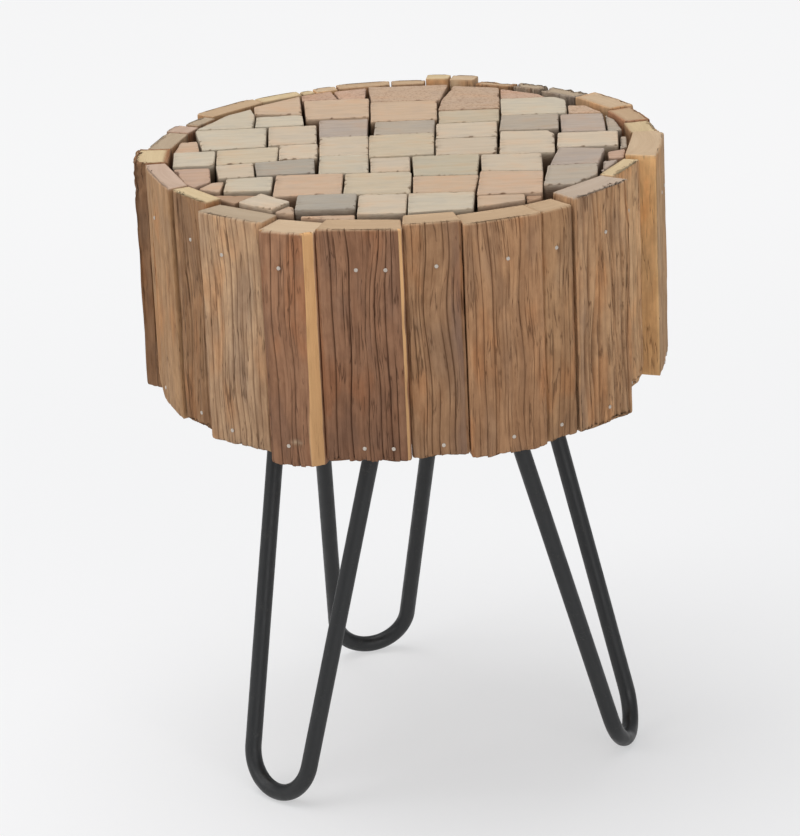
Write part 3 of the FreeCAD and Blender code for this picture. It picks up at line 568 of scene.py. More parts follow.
# %% Lay the columns
LEFT_SIDE, LEFT_BEVEL, FACE, RIGHT_BEVEL, RIGHT_SIDE, BACK = range(6)
COLUMN_GAP = {LEFT_SIDE: 0.0024, LEFT_BEVEL: 0.0014, RIGHT_BEVEL: 0.0014, RIGHT_SIDE: 0.0024, BACK: 0.009}
PLAIN_GAP, RIDGED_GAP = 0.0019, 0.0011
CORNER_MARGIN = 0.0009
LIP_CLEAR = 0.0004


def spaced(start, end, gap):
    """Places from one corner to the next, both left out, at about one gap."""
    length = np.linalg.norm(end - start)
    steps = max(2, int(round(length / gap)))
    margin = min(CORNER_MARGIN / length, 0.3)
    shares = np.r_[margin, np.arange(1, steps) / steps, 1 - margin]
    return start + shares[:, None] * (end - start)


def board_columns(corners, cracks, gap):
    """Points round the section, the part of the board that each is on, and which crack it is in."""
    places, part, crack_at = [], [], []
    for side in range(6):
        start, end = corners[side], corners[(side + 1) % 6]
        run = spaced(start, end, gap if side == FACE else COLUMN_GAP[side])
        held = np.full(len(run), -1)
        if side == FACE:
            middle, half = cracks[:, 0], cracks[:, 2]
            clear = (np.abs(run[:, :1] - middle) > half + LIP_CLEAR).all(axis=1)
            row = np.sort(np.r_[middle - half, middle, middle + half, run[clear, 0]])
            run = np.c_[row, np.full(len(row), start[1])]
            near = np.abs(row[:, None] - middle)
            held = np.where(near.min(axis=1) < 1e-7, near.argmin(axis=1), -1)
        places += [start[None], run]
        part += [np.full(len(run) + 1, side)]
        crack_at += [[-1], held]
    return np.concatenate(places), np.concatenate(part), np.concatenate(crack_at)


def eased_outline(places, corner):
    """Takes each sharp corner back to the middle of its neighbours, and finds the way out."""
    between = (np.roll(places, 1, axis=0) + np.roll(places, -1, axis=0)) / 2
    places = np.where(corner[:, None], between, places)
    ahead = np.roll(places, -1, axis=0) - np.roll(places, 1, axis=0)
    ahead /= np.linalg.norm(ahead, axis=1)[:, None]
    return places, np.c_[-ahead[:, 1], ahead[:, 0]]


print(len(board_columns(corners, trial, PLAIN_GAP)[0]), "columns of points round a trial board")

# %% [markdown]
# ## Rows and wear
# The rows run from the ragged lower end to the sanded top edge. The lower ends were snapped or
# roughly sawn, so each strip between two cracks stops at its own height and a crack leaves a notch.
# The top edge was sanded a little after the drum was built, so its last five rows follow a quarter of
# a circle. Main splits stay open nearly all the way, and small cracks open and close along the board.
# The rest of the wear is slow hollows, ridges along the grain, nicks along the bevels, the knobs of a
# broken upper end, a face that rounds off to its edges and, on one board, a scar.

# %% Heights of the rows
ROUNDING = np.radians([18, 36, 54, 72, 90])
CLIMB = np.r_[0, 0.004, 0.012, np.linspace(0.03, 1, 52)]
TOP_ROUND = np.array([0.0010, 0.0020, 0.0020, 0.0020, 0.0010, 0.0008])
TOP_GAP = 0.0003


def lower_ends(seed, wide, part, crack_at, cracks, line, ragged, dice):
    """Height at which each column stops: the solid's lower line, stepped and notched at the cracks."""
    steps = dice.uniform(0, 1, len(cracks) + 1)[np.searchsorted(np.sort(cracks[:, 0]), wide)]
    uneven = ragged * MM * (0.6 * steps + 0.3 + 0.3 * wander(seed, wide * 330))
    notch = np.where(crack_at >= 0, dice.uniform(0.0008, 0.0030, len(wide)), 0)
    return np.interp(wide, *line) + np.clip(uneven, 0, 0.004) * np.where(part == BACK, 0.3, 1.0) + notch


def row_heights(low, top, part):
    """Height of every point: the climb from the lower end, then the rounded top edge."""
    high = top - TOP_GAP - TOP_ROUND[part]
    climb = low + CLIMB[:, None] * (high - low)
    return np.vstack([climb, high + np.sin(ROUNDING)[:, None] * TOP_ROUND[part]])


print(len(CLIMB) + len(ROUNDING), "rows up each board")

# %% Cracks that open and close
SPLIT_RHYTHM = 7


def crack_opening(seed, z, crack_at, cracks, rhythm, dice):
    """How far each crack is open, from 0 to 1, all along the board."""
    opening = np.zeros_like(z)
    for crack, (_, _, _, main) in enumerate(cracks):
        here = crack_at == crack
        swell = wander(seed * 31 + crack, z[:, here] * (SPLIT_RHYTHM if main else rhythm))
        if main:
            share = 0.85 + 0.3 * swell
        else:
            share = 2.0 * swell + dice.uniform(-0.2, 1.0)
        opening[:, here] = np.clip(share, 0, 1)
    return opening


def closed_lips(opening, crack_at, cracks):
    """Sideways move of the two columns beside each crack, which meet where the crack closes."""
    move = np.zeros_like(opening)
    for column in np.flatnonzero(crack_at >= 0):
        closed = 0.7 * cracks[crack_at[column], 2] * (1 - opening[:, column])
        move[:, column - 1] += closed
        move[:, column + 1] -= closed
    return move


print("main splits swell about", SPLIT_RHYTHM, "times in a metre")

# %% Wear of the face
HOLLOW_DEPTH, RIDGE_DEPTH, NICK_DEPTH, KNOB_DEPTH = 0.00035, 0.0007, 0.0016, 0.0013
FACE_SHARE = np.array([0.4, 1, 1, 1, 0.4, 0])
NICK_SHARE = np.array([0.15, 1, 0.15, 1, 0.15, 0.15])
SCAR_WIDTH, SCAR_HEIGHT = 0.40, 0.0026


def board_wear(seed, run, z, part, top, looks):
    """Depth worn away, in metres, apart from the cracks, and how much shade is painted in the valleys
    between ridges.
    """
    hollow = HOLLOW_DEPTH * np.clip(1 + wander(seed + 40, run * 70, z * 14), 0, None)
    wave = wander(seed + 80, run * 420, z * 16)
    ridge = looks["ridges"] * RIDGE_DEPTH * np.clip(1 + wave, 0, None)
    # Painted shade: the valleys between deep ridges are darkened, by way of the crack mark.
    valley_shade = np.clip(wave, 0, 1) * np.clip(looks["ridges"] - 0.8, 0, 1.4) * 0.6 * (part == FACE)
    worn = (hollow + ridge) * FACE_SHARE[part]
    nick = np.clip(wander(seed + 120, run * 90, z * 60) - 0.25, 0, 1) * NICK_DEPTH
    worn = worn + nick * NICK_SHARE[part]
    if looks["knobbly"]:
        near_top = np.clip((z - top + 0.030) / 0.008, 0, 1)
        knob = np.clip(wander(seed + 240, run * 190, z * 210) + 0.5, 0, 2) * near_top
        worn = worn + looks["knobbly"] * KNOB_DEPTH * knob * (part != BACK)
    return worn, valley_shade


def crowned(crown, place, part):
    """How far a rounded face falls back to its edges."""
    fall = crown * MM * np.clip(np.abs(place), 0, 1) ** 3
    return fall * np.isin(part, (LEFT_BEVEL, FACE, RIGHT_BEVEL))


def scarred(scar, place, z, part):
    """A gouge, from 0 to 1, on a board that has one."""
    if scar is None:
        return np.zeros_like(z)
    at, up = scar
    sideways = ((place - at) / SCAR_WIDTH) ** 2
    upwards = ((z - z.min() - up * MM) / SCAR_HEIGHT) ** 2
    return np.exp(-sideways - upwards) * (part == FACE)


print("ridges up to", round(2 * RIDGE_DEPTH / MM, 1), "mm deep on a plain ridged board")

# %% [markdown]
# ## Weaving the boards
# Now the parts come together. The grid sways with the grain, less near the edges of the face, and each
# point moves in by its wear. The ends close with rings that shrink to the middle. Every point
# keeps its crack, with the painted shade of the valleys between ridges, its share of sawn wood, its
# stain, whether it is end grain and its place along the grain, and a board then stands for the solid it
# was read from. On end grain the place is turned, so that the streaks run across the board's end as its
# growth rings do.

# %% Bare wood, stains and colours
SANDED_REACH = 0.0036
STRIP_BLUR = 0.05
STAIN_WIDTH = 0.28
FOOT_REACH = 0.12


def fresh_wood(looks, place, z, top, part, scar):
    """Share of bare wood: the sanded top edge, sawn edges, a bare strip and the scar."""
    left, right = looks["sawn"]
    sanded = np.clip(0.75 - (top - z) / SANDED_REACH, 0, 0.7) * (1 - min(looks["knobbly"], 1))
    sawn = np.array([0, left, 0, right, 0, 0])[part]
    begin = 1 - looks["strip"] * (top - z) / (top - z.min())
    strip = np.clip((place - begin) / STRIP_BLUR, 0, 1) * (looks["strip"] > 0) * (part == FACE)
    return np.maximum(np.maximum(sanded, sawn), np.maximum(strip, 0.7 * scar))


def grey_stain(seed, stain, place, run, z, part):
    """A grey run down the face of a board that has one."""
    if stain is None:
        return np.zeros_like(z)
    at, strength = stain
    blotch = strength * (1 + 0.7 * wander(seed, z * 20, run * 60))
    return np.exp(-((place - at) / STAIN_WIDTH) ** 2) * blotch * (part == FACE)


def board_values(number, looks, kept, height, part, place, ring_count):
    """What the finish reads at each point: the marks, the painted shade at the foot and the colours of the
    wood.
    """
    crack, fresh, stain, end = kept[:, :4].T
    closing = [False, False]
    sides = np.r_[np.tile(np.isin(part, (LEFT_SIDE, RIGHT_SIDE)), ring_count), closing]
    edge = np.isin(part, (LEFT_BEVEL, RIGHT_BEVEL)) | (place > 1 - looks["strip"]) & (part == FACE)
    edges = np.r_[np.tile(edge, ring_count), closing] & (end == 0)
    foot = np.clip(1 - (height - height.min()) / FOOT_REACH, 0, 1)
    return {"crack": crack, "fresh": fresh, "stain": stain, "end": end,
            "grain": kept[:, 4:] + (number * 0.37, number * 0.11, 0),
            # Painted shade: the foot of each board is darkened, as less light reaches it.
            "damp": foot * looks["damp"],
            "bare": np.where(edges[:, None], bare_woods[looks["edge"]], bare_woods[looks["top"]]),
            "skin": np.where(sides[:, None], skins[looks["sides"]], skins[looks["skin"]])}


print("the lower", round(FOOT_REACH / MM), "mm of a board may be darker")

# %% Close the two ends
UPPER_SCALES, LOWER_SCALES = (0.70, 0.55, 0.36, 0.16), (0.75, 0.5, 0.2)
BROKEN_ROUGH, BROKEN_DROP = 0.0036, 0.0034
GROWTH_BOW = 7.0


def end_marks(flat, crack, sawn):
    """Marks of one ring of end grain: the growth rings bow across the end of the board."""
    none = np.zeros(len(flat))
    bow = GROWTH_BOW * (flat[:, 0] - flat[:, 0].mean()) ** 2
    return np.c_[crack, none + sawn, none, none + 1, flat[:, 1] + bow, none, flat[:, 0]]


def close_ends(rings, marks, base, top, seed, looks):
    """Adds the rings of both ends. Inner rings follow the sound outline, clear of the cracks."""
    last, first, centre = rings[-1], rings[0], base.mean(axis=0)
    thick = np.ptp(base[:, 1])
    broken = min(looks["knobbly"], 1)
    rings.append(np.c_[centre + (last[:, :2] - centre) * 0.998, last[:, 2] - 0.00002])
    marks.append(end_marks(last, marks[-1][:, 0], 0.92 * (1 - broken)))
    for scale in UPPER_SCALES:
        flat = centre + (base - centre) * scale
        outer = np.clip((flat[:, 1] - centre[1]) / thick + 0.1, 0, 0.6) * broken
        rough = 0.00012 * wander(seed + 200, flat[:, 0] * 60, flat[:, 1] * 60)
        rough += BROKEN_ROUGH * outer * wander(seed + 210, flat[:, 0] * 210, flat[:, 1] * 210)
        rings.append(np.c_[flat, np.minimum(top, last[:, 2].mean() + rough - 0.0002 - BROKEN_DROP * outer)])
        marks.append(end_marks(flat, 0 * outer, 0.92 - 0.85 * outer))
    for scale in LOWER_SCALES:
        flat = centre + (base - centre) * scale
        level = first[:, 2].mean() + (first[:, 2] - first[:, 2].mean()) * scale + 0.0004
        rings.insert(0, np.c_[flat, level])
        marks.insert(0, end_marks(flat, 0 * level, 0.0))
    return rings, marks


print(len(UPPER_SCALES) + 1, "rings close an upper end and", len(LOWER_SCALES), "a lower one")

# %% Weave every board
EDGE_CLEAR = 0.0015
RIDGED_FROM = 0.9
GRAIN_SWAY = 0.0040
SCAR_DEPTH = 0.0008
FOOT_WEAR = np.array([[0.0008], [0.0003]])


def weave_board(number):
    """Builds one board over its solid."""
    name, looks, dice = f"stave_{number:02d}", boards[number], np.random.default_rng(number)
    across, out, corners, splits, top, line = board_measures(name)
    left, right = looks["wider"]
    corners[:, 0] += np.array([0, -left, -left, right, right, 0]) * MM
    half, middle = (corners[3] - corners[2])[0] / 2, (corners[3] + corners[2])[0] / 2
    cracks = place_cracks(middle, half - EDGE_CLEAR, looks["cracks"], looks["depth"], splits, dice)
    gap = RIDGED_GAP if looks["ridges"] > RIDGED_FROM else PLAIN_GAP
    base, part, crack_at = board_columns(corners, cracks, gap)
    base, away = eased_outline(base, np.r_[True, part[1:] != part[:-1]])
    run = np.cumsum(np.linalg.norm(base - np.roll(base, 1, axis=0), axis=1))
    place = (base[:, 0] - middle) / half
    low = lower_ends(number, base[:, 0], part, crack_at, cracks, line, looks["ragged"], dice)
    z = row_heights(low, top, part)
    opening = crack_opening(number, z, crack_at, cracks, looks["rhythm"], dice)
    worn, valley_shade = board_wear(number, run, z, part, top, looks)
    scar = scarred(looks["scar"], place, z, part)
    inward = worn + opening * cracks[crack_at, 1] * (crack_at >= 0)
    inward += crowned(looks["crown"], place, part)
    inward += SCAR_DEPTH * scar
    inward[-len(ROUNDING):] += (1 - np.cos(ROUNDING))[:, None] * TOP_ROUND[part]
    inward[:len(FOOT_WEAR)] += FOOT_WEAR
    sway = wander(number + 160, run * 40, z * 16) * GRAIN_SWAY
    sway = sway * np.clip(1 - place ** 2, 0, 1) * (part == FACE)
    wide = base[:, 0] + sway + closed_lips(opening, crack_at, cracks) - away[:, 0] * inward
    thick = base[:, 1] - away[:, 1] * inward
    rings = [np.c_[wide[r], thick[r], z[r]] for r in range(len(z))]
    # The crack mark holds how far each split is open, and painted shade in the valleys between ridges.
    crack, none = np.maximum(opening * 0.9, valley_shade), np.zeros(len(run))
    fresh = fresh_wood(looks, place, z, top, part, scar)
    grey = grey_stain(number, looks["stain"], place, run, z, part)
    marks = [np.c_[crack[r], fresh[r], grey[r], none, run, none, z[r]] for r in range(len(z))]
    rings, marks = close_ends(rings, marks, base, top, number, looks)
    points, faces = stacked_skin(rings)
    points = np.c_[points[:, :1] * across + points[:, 1:2] * out, points[:, 2]]
    values = board_values(number, looks, stacked_marks(marks), points[:, 2], part, place, len(rings))
    piece = make_piece(f"board_{number:02d}", points, faces, values, board_finish[slot_of[name]])
    return stands_for(piece, name)


woven = [weave_board(number) for number in boards]
print(len(woven), "boards woven,", sum(len(piece.data.polygons) for piece in woven), "faces")

# %% [markdown]
# ## The finish of the offcuts
# The top is laid with sawn blocks, side grain up, and sanded over. Their wood is pale: beige, pink or
# grey, with faint streaks along the grain, fine darker pores, and grime in the joints. The mark
# dirt_and_shade is 1 low on the sides and falls to 0 on the top, apart from the chips and ticks of the
# edges, so the joints go dark, with grime and with painted shade, while the tops stay clean. Blocks dry
# out at their ends first, so short checks run in from there: the mark tip is the distance to the nearer
# end, and it fades them out. A few blocks at the back show end grain, whose open pores are dark dots:
# the mark pored is 1 on those.

# %% Clean wood of the offcuts
offcut_finish, tree, shader = new_finish("sanded_offcut")
grain = mark(tree, "grain", "Vector")
skin = mark(tree, "skin", "Color")
streaks = grainy(tree, grain, 260.0, 34.0)
fibres = grainy(tree, grain, 1500.0, 260.0, 3.0)
dark = tint(tree, skin, 0.96, 0.95, 0.94)
light = tint(tree, skin, 1.03, 1.03, 1.03)
colour = mix(tree, levels(tree, streaks, 0.3, 0.7), dark, light)
cloud = grainy(tree, grain, 70.0, 40.0, 3.0)
colour = mix(tree, levels(tree, cloud, 0.50, 0.68), colour, tint(tree, colour, 1.04, 0.97, 0.92))
colour = mix(tree, levels(tree, cloud, 0.34, 0.48, 1.0, 0.0), colour, tint(tree, colour, 0.94, 0.96, 0.99))
pores = levels(tree, fibres, 0.60, 0.74, 0.0, 0.25)
colour = mix(tree, pores, colour, tint(tree, skin, 0.66, 0.59, 0.52))
dots = levels(tree, grainy(tree, grain, 620.0, 620.0, 2.0), 0.50, 0.64, 0.0, 0.55)
dots = sums(tree, "MULTIPLY", dots, mark(tree, "pored", "Fac"))
colour = mix(tree, dots, colour, tint(tree, skin, 0.60, 0.50, 0.44))
print("clean wood of the offcuts ready")

# %% Checks, grime and painted shade of the offcuts
soil_and_shade = tint(tree, skin, 0.36, 0.29, 0.24)
lines = sums(tree, "ABSOLUTE", sums(tree, "SUBTRACT", grainy(tree, grain, 210.0, 14.0, 2.0), 0.5))
checks = levels(tree, lines, 0.0, 0.03, 1.0, 0.0)
checks = sums(tree, "MULTIPLY", checks, levels(tree, mark(tree, "tip", "Fac"), 0.001, 0.007, 0.35, 0.0))
colour = mix(tree, checks, colour, soil_and_shade)
frayed = sums(tree, "MULTIPLY", sums(tree, "SUBTRACT", fibres, 0.5), 0.5)
# Grime and painted shade in the joints: the sides of the blocks go dark, and the tops stay clean.
dirt_and_shade = sums(tree, "ADD", mark(tree, "dirt_and_shade", "Fac"), frayed)
colour = mix(tree, levels(tree, dirt_and_shade, 0.2, 0.95), colour, soil_and_shade)
tree.links.new(colour, shader.inputs["Base Color"])
join(tree, levels(tree, streaks, 0.3, 0.7, 0.9, 0.74), shader.inputs["Roughness"])
shader.inputs["Specular IOR Level"].default_value = 0.3
height = sums(tree, "ADD", streaks, sums(tree, "MULTIPLY", fibres, 0.6))
height = sums(tree, "SUBTRACT", height, sums(tree, "MULTIPLY", checks, 0.8))
bumped(tree, shader, height, 0.0006, 0.22)
print("offcut finish ready")

# %% [markdown]
# ## The offcuts
# One solid holds a whole row of blocks, so we first part it into its separate blocks. Joined faces
# share points once doubles are merged, so walking from point to point finds each block. The lowest
# points of a block are the corners of its plan. The colours are named in the order of the blocks, and
# the blocks that show end grain are counted in the same order, from 0.

# %% Colours of the offcuts
offcut_skins = {
    "beige": paint(192, 175, 153), "pale": paint(191, 178, 157), "yellow": paint(187, 171, 147),
    "pink": paint(188, 161, 136), "tan": paint(190, 164, 138), "rose": paint(184, 154, 132),
    "grey": paint(172, 158, 141), "lilac": paint(171, 155, 141), "blue": paint(162, 152, 138),
    "brown": paint(168, 138, 112), "green": paint(183, 170, 147),
}
offcut_rows = {
    1: "beige pink blue pink beige pale tan brown",
    2: "pink brown pale pink yellow tan pink grey",
    3: "rose beige blue pale beige green beige lilac rose lilac",
    4: "pale yellow beige beige yellow beige beige beige grey",
    5: "pink pale beige lilac grey beige grey lilac grey",
    6: "pale pale tan tan yellow pale pink",
    7: "tan rose rose pink pink rose",
}
pored_blocks = {6: (6,), 7: (1, 2, 3, 4, 5)}


def loose_parts(name):
    """The separate parts of one solid, as arrays of points, in the order they were made."""
    shell = bmesh.new()
    shell.from_mesh(nodes[name].data)
    bmesh.ops.remove_doubles(shell, verts=shell.verts, dist=1e-6)
    parts, met = [], set()
    for start in shell.verts:
        todo, group = [start], []
        while todo:
            point = todo.pop()
            if point not in met:
                met.add(point)
                group.append(tuple(point.co))
                todo += [edge.other_vert(point) for edge in point.link_edges]
        if group:
            parts.append(np.array(group))
    shell.free()
    return parts


print(sum(len(loose_parts(f"top_blocks_row_{row}")) for row in offcut_rows), "offcuts found")

# %% [markdown]
# ## Shaping the offcuts
# A block is a stack of rings as well, with small curves at the corners of its plan, since an edge that
# is worn back from both sides would cross itself at a sharp corner. The lower rings are its sides,
# darkened by grime and by painted shade deeper in the joints. Four rings turn the edge over, where small
# chips and dark ticks sit, as on the real top, and the last rings close the sanded face. The grain runs
# along the row, so it follows the side of the block that lies nearest to that way.

# %% Plan of an offcut
CORNER_REACH = 0.0022
OFFCUT_GAP = 0.0017


def block_plan(block):
    """Points round the plan of a block, the way in from each, and the direction of its grain."""
    plan = np.unique(block[block[:, 2] < block[:, 2].min() + 1e-5][:, :2].round(6), axis=0)
    plan = plan[np.argsort(np.arctan2(*(plan - plan.mean(axis=0)).T[::-1]))]
    after = np.roll(plan, -1, axis=0) - plan
    length = np.linalg.norm(after, axis=1)
    after /= length[:, None]
    before = -np.roll(after, 1, axis=0)
    reach = np.minimum(CORNER_REACH, 0.3 * np.minimum(length, np.roll(length, 1)))[:, None]
    start, leave, places = plan + before * reach, plan + after * reach, []
    bend = np.linspace(0, 1, 7)[:, None]
    for a, corner, b, goal in zip(start, plan, leave, np.roll(start, -1, axis=0)):
        steps = max(2, int(round(np.linalg.norm(goal - b) / OFFCUT_GAP)))
        places.append((1 - bend) ** 2 * a + 2 * bend * (1 - bend) * corner + bend ** 2 * b)
        places.append(b + np.arange(1, steps)[:, None] / steps * (goal - b))
    places = np.concatenate(places)
    return *eased_outline(places, np.zeros(len(places), bool)), after[np.argmax(np.abs(after[:, 0]))]


middle_block = loose_parts("top_blocks_row_4")[4]
print(len(block_plan(middle_block)[0]), "points round the middle offcut")

# %% Shape an offcut
# Rings of the sides: drop below the top, share of the chips, and grime with painted shade.
SIDE_RINGS = ((0.022, 0, 1), (0.010, 0, 0.95), (0.005, 0, 0.75), (0.0026, 0.2, 0.5), (0.0016, 0.5, 0.36))
# Rings of the edge: how far it has turned over, in degrees, and grime with painted shade.
EDGE_RINGS = ((20, 0.25), (45, 0.1), (68, 0.0), (90, 0.0))
FACE_SCALES = (0.74, 0.56, 0.36, 0.14)
CHIP_DEPTH = 0.0012


def shape_offcut(block, seed):
    """Rings and marks of one worn block: sides darkened by grime and painted shade, edges with chips and
    ticks, and a sanded top.
    """
    low, top = block[:, 2].min(), block[:, 2].max()
    places, inward, along = block_plan(block)
    run = np.cumsum(np.linalg.norm(places - np.roll(places, 1, axis=0), axis=1))
    chip = np.clip(wander(seed, run * 260) - 0.28, 0, 1) * CHIP_DEPTH
    tick = np.clip(wander(seed + 50, run * 420) - 0.38, 0, 1)
    soft = np.clip(0.0010 + 0.0005 * wander(seed + 300, run * 60), 0.0005, 0.0014)
    rings, dirt_and_shade = [], []
    for drop, step, dirt_and_shade_share in SIDE_RINGS:
        z = np.maximum(top - drop, low)
        worn = 0.0001 * (1 + wander(seed + 600, run * 180, np.full(len(run), z * 300))) + chip * step
        rings.append(np.c_[places + inward * worn[:, None], np.full(len(run), z)])
        # Grime and painted shade: the sides go darker the deeper they lie in the joints.
        dirt_and_shade.append(np.full(len(run), dirt_and_shade_share))
    for turn, dirt_and_shade_share in EDGE_RINGS:
        angle = math.radians(turn)
        worn = soft * (1 - math.cos(angle)) + chip + 0.0001
        rings.append(np.c_[places + inward * worn[:, None], top - 0.0002 - soft * (1 - math.sin(angle))])
        dirt_and_shade.append(dirt_and_shade_share + np.clip(chip / CHIP_DEPTH, 0, 0.6) + tick * 0.8)
    edge, centre = rings[-1], places.mean(axis=0)
    for outline, scale in [(edge[:, :2], 0.985)] + [(places, scale) for scale in FACE_SCALES]:
        flat = centre + (outline - centre) * scale
        wave = 0.00018 * wander(seed + 900, flat[:, 0] * 90, flat[:, 1] * 90)
        rings.append(np.c_[flat, np.minimum(top, edge[:, 2] + wave - 0.0001)])
        dirt_and_shade.append(np.zeros(len(run)))
    crosswise = np.array([-along[1], along[0]])
    grain = [np.c_[ring[:, :2] @ crosswise, ring[:, 2], ring[:, :2] @ along] for ring in rings]
    ends = places @ along
    tip = [np.minimum(g[:, 2] - ends.min(), ends.max() - g[:, 2]) for g in grain]
    return rings, dirt_and_shade, tip, [g + (seed * 0.23, 0, seed * 0.41) for g in grain]


print(len(SIDE_RINGS) + len(EDGE_RINGS) + len(FACE_SCALES) + 1, "rings up each offcut")

# %% Lay every row
def lay_row(row):
    """Lays one row of offcuts as one piece, each block in its own colour."""
    name = f"top_blocks_row_{row}"
    stacks, marks = [], {"dirt_and_shade": [], "tip": [], "grain": [], "skin": [], "pored": []}
    for place, (block, tone) in enumerate(zip(loose_parts(name), offcut_rows[row].split())):
        seed = row * 20 + place
        rings, dirt_and_shade, tip, grain = shape_offcut(block, seed)
        shade = 1 + 0.05 * wander(seed, np.array([0.5]))[0]
        stacks.append(rings)
        marks["dirt_and_shade"].append(stacked_marks([d[:, None] for d in dirt_and_shade]))
        marks["tip"].append(stacked_marks([t[:, None] for t in tip]))
        marks["grain"].append(stacked_marks(grain))
        count = len(marks["grain"][-1])
        marks["skin"].append(np.tile(np.array(offcut_skins[tone]) * shade, (count, 1)))
        marks["pored"].append(np.full(count, float(place in pored_blocks.get(row, ()))))
    points, faces = joined_skins(stacks)
    values = {mark_name: np.concatenate(rows) for mark_name, rows in marks.items()}
    piece = make_piece(f"offcuts_{row}", points, faces, values, offcut_finish)
    return stands_for(piece, name)


laid = [lay_row(row) for row in offcut_rows]
print(len(laid), "rows of offcuts laid,", sum(len(piece.data.polygons) for piece in laid), "faces")

# %% [markdown]
# ## Metal finishes
# The legs are black painted rod, the nails bright wire and the screws dull zinc. Paint on steel is
# never one flat black: it is a little rougher in places, it carries fine dust, and it has the soft
# bumps of a sprayed coat. A bare nail head has dents from the hammer and spots of rust.

# %% Black paint, nail wire and zinc
def metal_finish(name, colour, worn_colour, metal, smooth, dull, size):
    """Metal or painted metal with uneven gloss, small stains of a second colour, and soft bumps."""
    finish, tree, shader = new_finish(name)
    place = add(tree, "TexCoord", {}).outputs["Object"]
    cloud = grainy(tree, place, size, size, 4.0)
    speck = grainy(tree, place, size * 9, size * 9, 3.0)
    both = sums(tree, "ADD", sums(tree, "MULTIPLY", cloud, 0.5), sums(tree, "MULTIPLY", speck, 0.5))
    tone = mix(tree, levels(tree, both, 0.55, 0.66), colour, worn_colour)
    tree.links.new(tone, shader.inputs["Base Color"])
    join(tree, levels(tree, cloud, 0.3, 0.7, smooth, dull), shader.inputs["Roughness"])
    shader.inputs["Metallic"].default_value = metal
    bumped(tree, shader, sums(tree, "ADD", cloud, sums(tree, "MULTIPLY", speck, 0.4)), 0.0004, 0.25)
    return finish


black_paint = metal_finish("satin_black_paint", paint(27, 28, 29), paint(48, 48, 47),
                           metal=0.0, smooth=0.36, dull=0.54, size=120.0)
nail_wire = metal_finish("old_nail_wire", paint(197, 187, 175), paint(140, 116, 98),
                         metal=0.3, smooth=0.40, dull=0.60, size=600.0)
dull_zinc = metal_finish("dull_zinc_screw", paint(168, 168, 164), paint(120, 116, 108),
                         metal=0.8, smooth=0.36, dull=0.55, size=400.0)
print("metal finishes ready")

# %% [markdown]
# ## Nails and screws
# Every board is held by nails, and their small heads show all round the drum. A head is a low dome with
# a flat rim, so we spin a short profile about the nail: pairs of radius and height. Each nail is a long
# thin solid, so the direction in which its points spread most is the direction of the nail. The worn
# face of a board lies a little below its solid, so rays shot along the nail find the wood that the head
# comes to rest on. Five rays are shot, because a single one can fall into a crack. The screws under the
# leg plates are spun in the same way, with a cross sunk into their heads.

# %% Find where a fastener sits
HEAD_REACH = 0.0011
RAY_START, RAY_LENGTH = 0.005, 0.012


def fastener_axis(part, downwards):
    """Middle of a fastener, and the direction in which its head points."""
    middle = part.mean(axis=0)
    axis = np.linalg.svd(part - middle)[2][0]
    return middle, axis * np.sign(-axis[2] if downwards else axis @ middle)


def all_wood():
    """Every woven board in one tree that a ray can be shot at."""
    points, faces = [], []
    for piece in woven:
        faces += [[len(points) + corner for corner in face.vertices] for face in piece.data.polygons]
        points += [point.co for point in piece.data.vertices]
    return bvhtree.BVHTree.FromPolygons(points, faces)


def seat_height(tip, axis, side, other):
    """How far above the tip the highest wood under a nail head lies, by five rays."""
    heights = []
    for right, up in ((0, 0), (1, 0), (-1, 0), (0, 1), (0, -1)):
        start = tip + axis * RAY_START + (side * right + other * up) * HEAD_REACH
        hit = wood.ray_cast(Vector(start), Vector(-axis), RAY_LENGTH)[0]
        if hit is not None:
            heights.append((np.array(hit) - tip) @ axis)
    return max(heights, default=0.0)


wood = all_wood()
print("rays can find the wood of", len(woven), "boards")

# %% Drive the nails and the screws
NAIL_PROFILE = [(0.0009, -0.004), (0.0010, -0.0005), (0.0012, -0.0003), (0.00138, 0.0000), (0.0013, 0.0003),
                (0.0009, 0.00045), (0.0004, 0.0005)]
SCREW_PROFILE = [(0.0021, -0.012), (0.0022, -0.0012), (0.0041, -0.0006), (0.0043, 0.0004), (0.0039, 0.0014),
                 (0.0030, 0.0021), (0.0024, 0.0024), (0.0012, 0.0025)]
NAIL_HEAD, SCREW_HEAD = 0.0009, 0.0026
SLOT_REACH, SLOT_DEPTH = 0.0031, 0.0011
HEAD_STEP = 15


def spun_heads(name, piece_name, profile, finish, height, screws):
    """One piece with a spun head at each fastener of a solid, and a cross slot in each screw."""
    stacks = []
    turns = np.radians(np.arange(0, 360, HEAD_STEP))
    for number, part in enumerate(loose_parts(name)):
        middle, axis = fastener_axis(part, screws)
        tip = middle + axis * (((part - middle) @ axis).max() - height)
        side = np.cross(axis, (1.0, 0.0, 0.0) if screws else (0.0, 0.0, 1.0))
        side /= np.linalg.norm(side)
        other = np.cross(axis, side)
        tip = tip if screws else tip + axis * seat_height(tip, axis, side, other)
        rings = []
        for radius, rise in profile:
            dent = 1 + 0.05 * wander(number, np.cos(turns) * 2 + rise * 900, np.sin(turns) * 2)
            ring = np.outer(np.cos(turns) * radius * dent, side)
            ring = ring + np.outer(np.sin(turns) * radius * dent, other)
            slot = screws and radius < SLOT_REACH and rise > 0
            sink = np.where(np.abs(np.sin(2 * turns)) < 0.3, SLOT_DEPTH, 0) if slot else np.zeros(len(turns))
            rings.append(tip + ring + np.outer(rise - sink, axis))
        stacks.append(rings)
    points, faces = joined_skins(stacks)
    print(len(stacks), "heads in", piece_name)
    return stands_for(make_piece(piece_name, points, faces, {}, finish), name)


